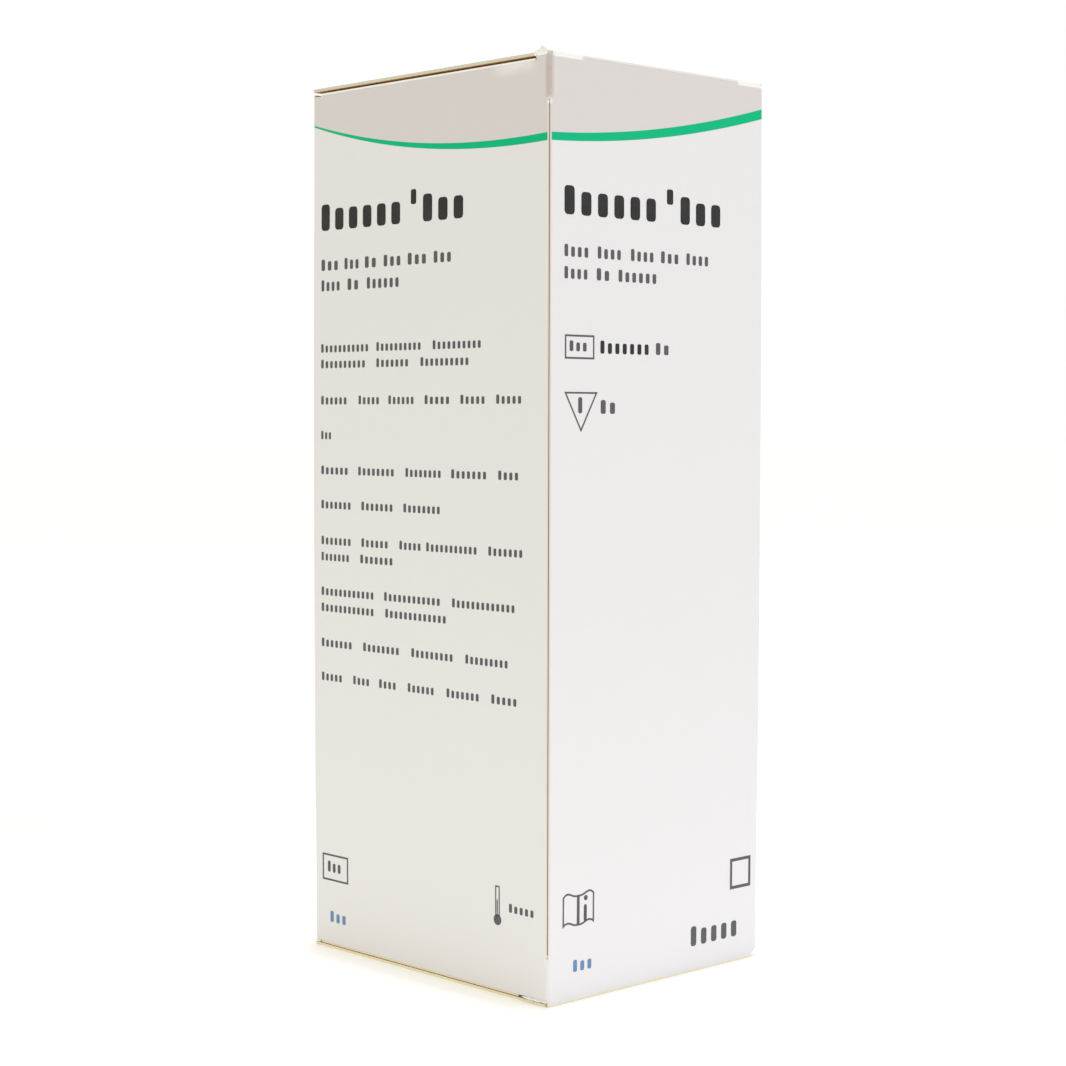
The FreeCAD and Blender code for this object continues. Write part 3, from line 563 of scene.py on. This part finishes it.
def crushed_corner(name, size, middle, peak, depth, material):
    """A corner of the left wall, crumpled by knocks."""
    rest()
    bpy.ops.mesh.primitive_ico_sphere_add(subdivisions=4, radius=1.0)
    corner = bpy.context.object
    corner.scale = [half * MM for half in size]
    settle()
    corner.location = [way * MM for way in middle]
    applied(corner, "Pointed", "SIMPLE_DEFORM", deform_method="TAPER", deform_axis="Z", factor=-peak)
    settle()
    creases = bpy.data.textures.new("creases", "CLOUDS")
    creases.noise_scale = CRUMPLE_SIZE
    creases.noise_depth = 2
    applied(corner, "Crumple", "DISPLACE", texture=creases, texture_coords="LOCAL", strength=depth * MM)
    corner.name = corner.data.name = name
    corner.data.materials.append(material)
    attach(corner, "carton")


def crumpled_board(fibre, board):
    """Rubbed clay coat and fibre of the crumpled corners, painted lighter so that they stay white in shade.
    """
    material, tree, shader = finish("crumpled board")
    grain = grouped(tree, fibre, Tooth=3200.0, Cloud=900.0)
    face = shades(tree, grain.outputs["Tone"], board.rubbed_and_highlight_white, 0.88, 1.02)
    surface(tree, shader, face, 0.8, grain.outputs["Height"], 0.08 * MM, 0.7)
    return material


class CARTON_OT_board(bpy.types.Operator):
    """Finish the walls and flaps as printed folding boxboard"""
    bl_idname = "carton.board"
    bl_label = "Printed Board"

    def execute(self, context):
        board = context.scene.carton_board
        groups = {
            "sides": board_sides(),
            "fibre": paper_fibre(),
            "band": sweeping_band(board),
            "score": fold_score(board),
        }
        for name, sides in BOARDS.items():
            dress(name, printed_board(name, groups, board, *sides))
        crumpled = crumpled_board(groups["fibre"], board)
        for name, shape in CRUSHED.items():
            crushed_corner(name, *shape, crumpled)
        return {"FINISHED"}


# ---- printed matter ----
# Plain bars stand where words would be. A row has its ink, its height on the wall, how tall its bars are, and
# the start and end of each word across the wall as it is read, in millimetres.

FRONT_ROWS = [
    ("black", 120.1, 3.5, [(-21.0, 0.1), (4.3, 15.0)]),
    ("black", 122.18, 1.9, [(1.2, 3.2)]),
    ("grey", 112.87, 1.5, [(-21.0, -15.4), (-14.0, -8.4), (-6.8, -1.2), (-0.1, 4.5), (5.7, 11.4)]),
    ("grey", 109.6, 1.5, [(-21.0, -15.6), (-14.2, -10.8), (-9.5, -0.5)]),
    ("black", 98.71, 1.6, [(-13.4, -2.1)]),
    ("grey", 98.72, 1.5, [(-1.2, 2.5)]),
    ("grey", 89.7, 1.7, [(-13.3, -9.3)]),
    ("grey", 5.39, 2.6, [(7.8, 19.9)]),
    ("blue", 5.26, 1.5, [(-18.6, -14.0)]),
]
SIDE_ROWS = [
    ("black", 120.49, 3.5, [(-25.6, -4.3), (-0.2, 10.6)]),
    ("black", 122.57, 1.9, [(-3.1, -1.3)]),
    ("grey", 112.97, 1.5, [
        (-25.6, -20.6), (-19.6, -15.4), (-14.4, -10.9), (-9.7, -4.9), (-3.8, 1.3), (2.4, 7.1)]),
    ("grey", 109.61, 1.5, [(-25.6, -20.3), (-18.8, -15.4), (-13.9, -5.4)]),
    ("grey", 99.41, 1.15, [(-25.7, -13.1), (-11.5, -0.2), (2.2, 13.8)]),
    ("grey", 96.84, 1.15, [(-25.7, -13.9), (-11.5, -3.2), (-0.7, 11.0)]),
    ("grey", 90.9, 1.15, [
        (-25.7, -18.6), (-16.0, -10.4), (-8.5, -1.9), (0.3, 6.6), (8.7, 14.7), (16.8, 22.8)]),
    ("grey", 85.18, 1.15, [(-25.7, -22.7)]),
    ("grey", 79.42, 1.15, [(-25.7, -18.3), (-16.1, -6.7), (-4.3, 4.6), (6.6, 15.1), (17.3, 22.2)]),
    ("grey", 73.78, 1.15, [(-25.7, -17.6), (-15.3, -7.0), (-4.8, 4.4)]),
    ("grey", 67.84, 1.15, [(-25.7, -17.6), (-15.3, -8.2), (-5.8, -0.2), (0.7, 12.9), (15.1, 23.1)]),
    ("grey", 65.18, 1.15, [(-25.7, -18.1), (-15.6, -7.0)]),
    ("grey", 59.43, 1.15, [(-25.7, -11.8), (-9.6, 4.4), (6.8, 21.4)]),
    ("grey", 56.76, 1.15, [(-25.7, -11.8), (-9.3, 5.8)]),
    ("grey", 50.92, 1.15, [(-25.7, -17.4), (-14.9, -5.5), (-2.9, 7.4), (9.9, 19.9)]),
    ("grey", 45.28, 1.15, [
        (-25.7, -20.0), (-17.5, -13.0), (-10.9, -6.3), (-3.8, 2.9), (5.5, 13.4), (15.8, 21.9)]),
    ("grey", 13.69, 1.1, [(19.7, 25.6)]),
    ("blue", 5.21, 1.5, [(-23.8, -19.1)]),
]
TITLE_BAND = 3.0            # a row as tall as this is a title, in millimetres
LONE_BAR, TITLE_BAR, SMALL_BAR = 0.7, 0.6, 0.53     # a bar's width as a share of its pitch
TALL_BAR = 1.22             # how much taller a word's first bar is
BAR_ROUNDING = 0.16         # share of a bar's height
DISC_SIDES = 24
LEAF_STEPS = 6
LEAF_CREST = 1.25           # how much longer a leaf is than its wave
FACE_TURN = (math.radians(90), 0, 0)


def ink_block(left, low, width, height, wall_depth):
    rest()
    bpy.ops.mesh.primitive_plane_add(
        size=1, location=((left + width / 2) * MM, -wall_depth, (low + height / 2) * MM), rotation=FACE_TURN)
    block = bpy.context.object
    block.scale = (width * MM, height * MM, 1)
    settle()
    return block


def ink_words(wall_depth, height, band, spans):
    """One row of stand-in words: a tall block and then a run of low ones, flat on the wall's plane."""
    blocks = []
    low = height - band / 2
    for start, end in spans:
        count = max(1, round((end - start) / band))
        pitch = (end - start) / count
        share = LONE_BAR if count == 1 else TITLE_BAR if band > TITLE_BAND else SMALL_BAR
        width = pitch * share
        blocks.append(ink_block(start, low, width, band * TALL_BAR, wall_depth))
        if count > 1:
            run = ink_block(start + pitch, low, width, band, wall_depth)
            applied(run, "Run", "ARRAY", count=count - 1, use_relative_offset=False,
                    use_constant_offset=True, constant_offset_displace=(pitch * MM, 0, 0))
            blocks.append(run)
    row = joined("row", blocks)
    bpy.ops.object.mode_set(mode="EDIT")
    bpy.ops.mesh.select_all(action="SELECT")
    bpy.ops.mesh.bevel(offset=band * BAR_ROUNDING * MM, segments=2, affect="VERTICES")
    bpy.ops.object.mode_set(mode="OBJECT")
    return row


def ink_outline(corners, line, wall_depth):
    """A drawn outline through corners (across, height), in millimetres, with the line inside them."""
    rest()
    bpy.ops.mesh.primitive_circle_add(
        vertices=len(corners), radius=5 * MM, fill_type="NGON", location=(0, -wall_depth, 0),
        rotation=FACE_TURN)
    piece = bpy.context.object
    settle()
    for vertex, (across, height) in zip(piece.data.vertices, corners):
        vertex.co = (across * MM, -wall_depth, height * MM)
    pick(piece)
    bpy.ops.object.mode_set(mode="EDIT")
    bpy.ops.mesh.select_all(action="SELECT")
    bpy.ops.mesh.normals_make_consistent(inside=False)
    bpy.ops.mesh.inset(thickness=line * MM, use_even_offset=True)
    bpy.ops.mesh.delete(type="FACE")
    bpy.ops.object.mode_set(mode="OBJECT")
    return piece


def ink_disc(across, height, radius, wall_depth):
    rest()
    bpy.ops.mesh.primitive_circle_add(
        vertices=DISC_SIDES, radius=radius * MM, fill_type="NGON",
        location=(across * MM, -wall_depth, height * MM), rotation=FACE_TURN)
    settle()
    return bpy.context.object


def frame_corners(left, right, low, high):
    return [(left, high), (right, high), (right, low), (left, low)]


def leaf_corners(edge, spine, high, low, swell):
    """One leaf of an open booklet. Its head and foot rise and fall between the free edge and the spine."""
    wave = []
    for step in range(LEAF_STEPS + 1):
        t = step / LEAF_STEPS
        rise = swell * math.sin(math.pi * min(1, t * LEAF_CREST)) * (1 - t)
        wave.append((edge + (spine - edge) * t, rise))
    head = [(across, high + rise) for across, rise in wave]
    return head + [(across, low + rise) for across, rise in wave[::-1]]


def front_marks(depth):
    """Plain frame, triangle, open booklet and small square of the front wall."""
    return [
        ink_outline(frame_corners(-20.9, -14.7, 97.0, 100.6), 0.28, depth),
        ink_words(depth, 98.8, 1.3, [(-19.9, -15.7)]),
        ink_outline([(-21.0, 92.1), (-14.0, 92.1), (-17.5, 86.1)], 0.26, depth),
        ink_words(depth, 89.9, 2.0, [(-18.1, -16.9)]),
        ink_outline(leaf_corners(-20.9, -17.6, 16.2, 11.5, 0.8), 0.28, depth),
        ink_outline(leaf_corners(-14.2, -17.6, 16.2, 11.5, 0.8), 0.28, depth),
        ink_words(depth, 13.0, 2.2, [(-16.4, -15.5)]),
        ink_disc(-16.0, 15.55, 0.4, depth),
        ink_outline(frame_corners(17.1, 22.1, 11.9, 16.9), 0.5, depth),
    ]


def side_marks(depth):
    """Plain frame and thermometer of the side wall."""
    return [
        ink_outline(frame_corners(-25.8, -19.1, 11.35, 15.8), 0.3, depth),
        ink_words(depth, 13.55, 1.5, [(-24.4, -20.5)]),
        ink_outline(frame_corners(16.6, 17.6, 12.1, 16.85), 0.22, depth),
        ink_words(depth, 13.3, 2.0, [(16.95, 17.25)]),
        ink_disc(17.1, 11.6, 0.85, depth),
    ]


def lay_on_wall(name, piece, wall, film, turn):
    """Presses flat ink on its wall, gives it the thickness of its film and turns it to its wall."""
    piece.rotation_euler = (0, 0, turn)
    pick(piece)
    settle()
    applied(piece, "Cling", "SHRINKWRAP", target=NODES[wall], wrap_method="NEAREST_SURFACEPOINT",
            wrap_mode="ABOVE_SURFACE", offset=film / 2)
    applied(piece, "Film", "SOLIDIFY", thickness=film, offset=0.0)
    piece.name = piece.data.name = name
    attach(piece, "carton")


def printing_ink(name, tone, fibre):
    """Offset ink that lets a little of the board's tooth through."""
    material, tree, shader = finish(name)
    grain = grouped(tree, fibre, Tooth=3800.0, Cloud=420.0)
    bare = 0.04                 # share of the board that the ink's thin spots show
    light = tuple(c + (1 - c) * bare for c in tone)
    face = blend_colour(tree, sums(tree, "MULTIPLY", grain.outputs["Tone"], 0.8), tone, light)
    rough = levels(tree, grain.outputs["Tone"], gain=0.1, base=0.38)
    surface(tree, shader, face, rough, grain.outputs["Height"], 0.02 * MM, 0.4)
    feed(tree, shader.inputs["Specular IOR Level"], 0.2)
    return material


class CARTON_OT_print(bpy.types.Operator):
    """Print plain bars and marks on the four walls"""
    bl_idname = "carton.print"
    bl_label = "Printed Matter"

    def execute(self, context):
        ink = context.scene.carton_ink
        fibre = bpy.data.node_groups["Paper fibre"]
        inks = {
            "black": printing_ink("black ink", ink.ink_black, fibre),
            "grey": printing_ink("grey ink", ink.ink_grey, fibre),
            "blue": printing_ink("blue ink", ink.ink_blue, fibre),
        }
        layouts = (
            (FRONT_ROWS, front_marks, HALF_DEPTH, (("front_panel", 0.0), ("back_panel", math.pi))),
            (SIDE_ROWS, side_marks, HALF_WIDTH, (("left_panel", -math.pi / 2), ("right_panel", math.pi / 2))),
        )
        for rows, marks, depth, walls in layouts:
            for tone, material in inks.items():
                pieces = [ink_words(depth, *row[1:]) for row in rows if row[0] == tone]
                if tone == "grey":
                    pieces += marks(depth)
                master = joined(tone, pieces)
                master.data.materials.clear()
                master.data.materials.append(material)
                for wall, turn in walls:
                    piece = master
                    if wall != walls[-1][0]:
                        pick(master)
                        bpy.ops.object.duplicate()
                        piece = bpy.context.object
                    name = wall.replace("_panel", "") + "_" + tone + "_ink"
                    lay_on_wall(name, piece, wall, ink.film, turn)
        return {"FINISHED"}


# ---- contents ----

PAD_TONES = [
    (236, 224, 192), (244, 242, 230), (226, 146, 62), (214, 214, 104), (120, 198, 176),
    (222, 200, 182), (238, 216, 192), (242, 236, 206), (236, 190, 68),
]


# Stand-in rows: their pitch, the share of it that is printed, and noise cells for each metre along a row.
LEAFLET_ROWS = (1.7 * MM, 0.42, 420.0)
LABEL_ROWS = (3.4 * MM, 0.4, 260.0)
WORD_LEVEL = 0.43           # the noise level above which a row is printed
LEAFLET_SIDE, LEAFLET_END = 3 * MM, 4 * MM          # the leaflet's margins
MARGIN_EDGE = 0.1 * MM
LABEL_BAND = (9.5 * MM, 6.8 * MM)                   # down from the label's top
LABEL_FOOT, LABEL_HEAD = 10 * MM, 22 * MM           # plain ends of the label
LABEL_SIDES = (0.55, 2.6)                           # angles between which the label has its rows
STRIPS_ACROSS, STRIPS_DEEP = 185.0, 1234.0          # cells for each metre, about one for each strip
PAD_SPAN = (0.13, 0.87)                             # part of its cell that a reagent pad fills
MESH_PITCH = 9000.0                                 # radians for each metre of the pads' mesh


def printed_rows(tree, across, height, pitch, share, scale):
    """Mask of rows of plain strokes: a fixed row pitch, with gaps from a noise that changes row by row."""
    row = sums(tree, "DIVIDE", height, pitch)
    inside = sums(tree, "LESS_THAN", sums(tree, "FRACT", row), share)
    spot = place(
        tree, "ShaderNodeCombineXYZ", X=sums(tree, "MULTIPLY", across, scale), Y=sums(tree, "FLOOR", row))
    words = place(
        tree, "ShaderNodeTexNoise", {"noise_dimensions": "2D"}, Vector=spot.outputs[0], Scale=1.0, Detail=0.0)
    return sums(tree, "MULTIPLY", inside, sums(tree, "GREATER_THAN", words.outputs[0], WORD_LEVEL))


def leaflet_paper(tone, fibre):
    """Thin paper with rows of plain strokes on its flat folds."""
    material, tree, shader = finish("leaflet paper")
    grain = grouped(tree, fibre, Tooth=3000.0, Cloud=180.0)
    _, x, _, z = axes(tree)
    low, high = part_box("leaflet")
    margin = sums(tree, "MULTIPLY", *(
        within(tree, way, low[axis] + edge, high[axis] - edge, MARGIN_EDGE)
        for way, axis, edge in ((x, 0, LEAFLET_SIDE), (z, 2, LEAFLET_END))))
    turn_y = split(tree, coordinate(tree, "Normal"))[1]
    flat = sums(tree, "GREATER_THAN", sums(tree, "ABSOLUTE", turn_y), FLAT_FOLD)
    rows = sums(tree, "MULTIPLY", printed_rows(tree, x, z, *LEAFLET_ROWS), margin)
    rows = sums(tree, "MULTIPLY", rows, sums(tree, "MULTIPLY", flat, 0.6))
    paper = shades(tree, grain.outputs["Tone"], tone, 0.95, 1.0)
    face = blend_colour(tree, rows, paper, srgb(110, 112, 118))
    rough = levels(tree, grain.outputs["Tone"], gain=0.1, base=0.72)
    surface(tree, shader, face, rough, grain.outputs["Height"], 0.04 * MM, 0.6)
    return material


def moulded_plastic(name, tone, roughness, wave):
    """Injection-moulded plastic with a slow sink pattern and a fine tool texture."""
    material, tree, shader = finish(name)
    spot = coordinate(tree)
    slow = noise(tree, spot, wave, 2.0)
    fine = noise(tree, spot, 2400.0, 3.0)
    rough = levels(tree, fine, gain=0.12, base=roughness)
    height = sums(tree, "MULTIPLY_ADD", slow, 4.0, fine)
    surface(tree, shader, shades(tree, slow, tone, 0.96, 1.0), rough, height, 0.03 * MM, 0.35)
    feed(tree, shader.inputs["Subsurface Weight"], 0.12)
    feed(tree, shader.inputs["Subsurface Radius"], (2 * MM,) * 3)
    feed(tree, shader.inputs["Subsurface Scale"], 1.0)
    return material


def label_paper(tone, green, fibre):
    """Coated paper wrap: a plain green band and rows of plain strokes."""
    material, tree, shader = finish("label paper")
    grain = grouped(tree, fibre, Tooth=2800.0, Cloud=120.0)
    low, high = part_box("tube_label")
    centred = place(tree, "ShaderNodeMapping", {"vector_type": "POINT"}, Vector=coordinate(tree),
                    Location=(0, -(low[1] + high[1]) / 2, 0))
    x, y, z = split(tree, centred.outputs[0])
    angle = sums(tree, "ARCTAN2", y, x)
    wrap = sums(tree, "MULTIPLY", angle, (high[0] - low[0]) / 2)
    band = within(tree, z, *(high[2] - down for down in LABEL_BAND), PRINT_EDGE)
    block = within(tree, z, low[2] + LABEL_FOOT, high[2] - LABEL_HEAD, MARGIN_EDGE)
    sides = within(tree, sums(tree, "ABSOLUTE", angle), *LABEL_SIDES, 0.002)
    rows = sums(tree, "MULTIPLY", sums(tree, "MULTIPLY", block, sides),
                printed_rows(tree, wrap, z, *LABEL_ROWS))
    paper = shades(tree, grain.outputs["Tone"], tone, 0.97, 1.0)
    face = blend_colour(tree, sums(tree, "MULTIPLY", rows, 0.7), paper, srgb(92, 92, 98))
    face = blend_colour(tree, band, face, green)
    rough = levels(tree, grain.outputs["Tone"], gain=0.08, base=0.36)
    surface(tree, shader, face, rough, grain.outputs["Height"], 0.02 * MM, 0.4)
    return material


def gel_granules(tone):
    """Packed desiccant beads, with painted shade in the gaps between them."""
    material, tree, shader = finish("desiccant granules")
    beads = place(tree, "ShaderNodeTexVoronoi", Vector=coordinate(tree), Scale=620.0)
    face = shades(tree, split(tree, beads.outputs["Color"])[0], tone, 0.7, 1.12)
    # Painted shade in the gaps between the beads.
    gap = levels(tree, beads.outputs["Distance"], gain=1.6, base=-0.35, clamp=True)
    shadow = 0.35
    face = blend_colour(tree, gap, face, tuple(c * shadow for c in tone))
    surface(tree, shader, face, 0.42, sums(tree, "SUBTRACT", 1.0, beads.outputs["Distance"]), 0.6 * MM)
    return material


def disc_card(tone, fibre):
    """Soft grey card."""
    material, tree, shader = finish("disc card")
    grain = grouped(tree, fibre, Tooth=1800.0, Cloud=300.0)
    face = shades(tree, grain.outputs["Tone"], tone, 0.86, 1.0)
    surface(tree, shader, face, 0.88, grain.outputs["Height"], 0.09 * MM, 0.8)
    return material


def strip_plastic(tone):
    """Glossy white film, a little different from strip to strip."""
    material, tree, shader = finish("strip film")
    spot, x, y, _ = axes(tree)
    cell_x, cell_y = [
        sums(tree, "FLOOR", sums(tree, "MULTIPLY", way, cells))
        for way, cells in ((x, STRIPS_ACROSS), (y, STRIPS_DEEP))]
    stepped = place(tree, "ShaderNodeCombineXYZ", X=cell_x, Y=cell_y)
    shade = place(tree, "ShaderNodeTexWhiteNoise", Vector=stepped.outputs[0])
    fine = noise(tree, spot, 1500.0, 2.0)
    rough = levels(tree, fine, gain=0.1, base=0.2)
    surface(tree, shader, shades(tree, shade.outputs[0], tone, 0.93, 1.0), rough, fine, 0.02 * MM, 0.3)
    return material


def reagent_pads(film_tone):
    """Nine reagent papers one above the other, each its own colour, under a fine white mesh."""
    material, tree, shader = finish("reagent pads")
    spot, x, _, z = axes(tree)
    low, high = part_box("test_zones")
    up = sums(tree, "DIVIDE", sums(tree, "SUBTRACT", z, low[2]), high[2] - low[2])
    ramp = place(tree, "ShaderNodeValToRGB", Fac=up)
    ramp.color_ramp.interpolation = "CONSTANT"
    stops = ramp.color_ramp.elements
    for order, tone in enumerate(PAD_TONES):
        # A new ramp has two stops already.
        stop = stops[order] if order < 2 else stops.new(order / len(PAD_TONES))
        stop.position = order / len(PAD_TONES)
        stop.color = (*srgb(*tone), 1)
    cell = sums(tree, "FRACT", sums(tree, "MULTIPLY", up, float(len(PAD_TONES))))
    pad = within(tree, cell, *PAD_SPAN, 0.01)
    blot = noise(tree, spot, 700.0, 3.0)
    paper = blend_colour(tree, sums(tree, "MULTIPLY", blot, 0.2), ramp.outputs[0], srgb(255, 252, 240))
    face = blend_colour(tree, pad, film_tone, paper)
    threads = [
        sums(tree, "ABSOLUTE", sums(tree, "SINE", sums(tree, "MULTIPLY", way, MESH_PITCH))) for way in (x, z)]
    height = sums(tree, "MULTIPLY_ADD", blot, 0.5, sums(tree, "MAXIMUM", *threads))
    surface(tree, shader, face, 0.85, height, 0.06 * MM, 0.8)
    return material


class CARTON_OT_contents(bpy.types.Operator):
    """Finish the tube, its stopper, label and strips, the desiccant and the leaflet"""
    bl_idname = "carton.contents"
    bl_label = "Contents"

    def execute(self, context):
        tones = context.scene.carton_contents
        fibre = bpy.data.node_groups["Paper fibre"]
        green = context.scene.carton_board.band_green
        finishes = {
            "leaflet": leaflet_paper(tones.leaflet_white, fibre),
            "tube": moulded_plastic("tube plastic", tones.tube_white, 0.32, 60.0),
            "stopper": moulded_plastic("stopper plastic", tones.stopper_white, 0.4, 90.0),
            "tube_label": label_paper(tones.label_white, green, fibre),
            "desiccant": gel_granules(tones.gel_amber),
            "desiccant_disc": disc_card(tones.disc_grey, fibre),
            "strip_films": strip_plastic(tones.film_white),
            "test_zones": reagent_pads(tones.film_white),
        }
        for name, material in finishes.items():
            dress(name, material)
        return {"FINISHED"}


# ---- stage ----

FLOOR_SIZE = 12.0           # metres
FOOT_GAP, FOOT_SOFT = 2.5 * MM, 2 * MM              # dark line round the carton's foot
SHADOW_WIDTH, SHADOW_SOFT, SHADOW_END_SOFT = 7 * MM, 5 * MM, 4 * MM
SHADED_FROM, SHADED_TO = -0.9, 0.1                  # the room's way across, from -1 on the left to 1
LIGHT_SIZE = 0.9
KEY_PLACE = (0.35, -1.15, 0.5)
FILL_PLACE = (-1.15, 0.1, 0.5)
SENSOR_WIDTH = 36


def soft_light(name, power, spot):
    """A large square light, turned to the middle of the carton."""
    light = bpy.data.lights.new(name, "AREA")
    light.shape = "SQUARE"
    light.size = LIGHT_SIZE
    light.energy = power
    lamp = bpy.data.objects.new(name, light)
    bpy.context.scene.collection.objects.link(lamp)
    lamp.location = spot
    aim = Vector((0, 0, CARTON_HEIGHT / 2))
    lamp.rotation_euler = (aim - Vector(spot)).to_track_quat("-Z", "Y").to_euler()


def floor_glow(tree, glow_reach):
    """1 on the lit part of the floor round the carton, but not in the shadow beside its left wall."""
    _, x, y, _ = axes(tree)
    beside = [
        sums(tree, "MAXIMUM", sums(tree, "SUBTRACT", sums(tree, "ABSOLUTE", way), half), 0.0)
        for way, half in ((x, HALF_WIDTH), (y, HALF_DEPTH))]
    squared = sums(tree, "MULTIPLY_ADD", beside[0], beside[0], sums(tree, "POWER", beside[1], 2.0))
    lit = within(tree, sums(tree, "SQRT", squared), FOOT_GAP, glow_reach, FOOT_SOFT)
    shadow = sums(tree, "MULTIPLY", within(tree, x, -HALF_WIDTH - SHADOW_WIDTH, 0.0, SHADOW_SOFT),
                  within(tree, y, -HALF_DEPTH, HALF_DEPTH, SHADOW_END_SOFT))
    return sums(tree, "MULTIPLY", lit, sums(tree, "SUBTRACT", 1.0, shadow))


def pale_floor(stage):
    """A wide floor that gives off a little light near the carton."""
    rest()
    bpy.ops.mesh.primitive_grid_add(x_subdivisions=8, y_subdivisions=8, size=FLOOR_SIZE, location=(0, 0, 0))
    floor = bpy.context.object
    floor.name = floor.data.name = "floor"
    material, tree, shader = finish("pale floor")
    cloud = noise(tree, coordinate(tree), 3.0, 2.0)
    feed(tree, shader.inputs["Base Color"], shades(tree, cloud, stage.floor_white, 0.99, 1.0))
    feed(tree, shader.inputs["Roughness"], 0.7)
    glow = blend_colour(tree, floor_glow(tree, stage.glow_reach), (stage.glow_far,) * 3, (1, 1, 1))
    feed(tree, shader.inputs["Emission Color"], glow)
    feed(tree, shader.inputs["Emission Strength"], stage.floor_glow)
    floor.data.materials.append(material)


def soft_room(scene, stage):
    """Even white light, toned on the left, behind which the camera sees plain white."""
    world = bpy.data.worlds.new("soft room")
    scene.world = world
    world.use_nodes = True
    tree = world.node_tree
    room = tree.nodes["Background"]
    room.inputs["Strength"].default_value = stage.room_light
    across = split(tree, coordinate(tree, "Generated"))[0]
    shaded = ramped(tree, across, SHADED_FROM, SHADED_TO)
    feed(tree, room.inputs["Color"], blend_colour(tree, shaded, (1, 1, 1), stage.shaded_side))
    seen = place(tree, "ShaderNodeBackground", Color=(1, 1, 1), Strength=1.0)
    which = place(tree, "ShaderNodeMixShader", i0=place(tree, "ShaderNodeLightPath").outputs["Is Camera Ray"],
                  i1=room.outputs[0], i2=seen.outputs[0])
    tree.links.new(which.outputs[0], tree.nodes["World Output"].inputs["Surface"])


class CARTON_OT_stage(bpy.types.Operator):
    """Set the carton on a pale floor in soft light, with the camera in front of its near corner"""
    bl_idname = "carton.stage"
    bl_label = "Stage"

    def execute(self, context):
        scene = context.scene
        stage = scene.carton_stage
        pale_floor(stage)
        soft_room(scene, stage)
        soft_light("key light", stage.key_power, KEY_PLACE)
        soft_light("fill light", stage.fill_power, FILL_PLACE)
        view = bpy.data.cameras.new("camera")
        view.sensor_width = SENSOR_WIDTH
        view.lens = stage.camera_lens
        view.clip_start = 0.01
        camera = bpy.data.objects.new("camera", view)
        scene.collection.objects.link(camera)
        camera.location = stage.camera_place
        camera.rotation_euler = stage.camera_turn
        scene.camera = camera
        scene.view_settings.view_transform = "Standard"
        return {"FINISHED"}


# ---- add-on ----

OPERATORS = (CARTON_OT_board, CARTON_OT_print, CARTON_OT_contents, CARTON_OT_stage)
VALUES = {
    "carton_board": BoardValues,
    "carton_ink": InkValues,
    "carton_contents": ContentsValues,
    "carton_stage": StageValues,
}


class CARTON_PT_sidebar(bpy.types.Panel):
    """Steps that dress the carton, with their values"""
    bl_label = "Test Strip Carton"
    bl_space_type = "VIEW_3D"
    bl_region_type = "UI"
    bl_category = "Carton"

    def draw(self, context):
        for step, (name, group) in zip(OPERATORS, VALUES.items()):
            box = self.layout.box()
            box.operator(step.bl_idname)
            for value in group.__annotations__:
                box.prop(getattr(context.scene, name), value)


CLASSES = (*VALUES.values(), *OPERATORS, CARTON_PT_sidebar)


def register():
    for entry in CLASSES:
        bpy.utils.register_class(entry)
    for name, group in VALUES.items():
        setattr(bpy.types.Scene, name, PointerProperty(type=group))


def unregister():
    for name in VALUES:
        delattr(bpy.types.Scene, name)
    for entry in reversed(CLASSES):
        bpy.utils.unregister_class(entry)


def main():
    register()
    bpy.ops.carton.board()
    bpy.ops.carton.print()
    bpy.ops.carton.contents()
    bpy.ops.carton.stage()


if __name__ == "__main__":
    main()
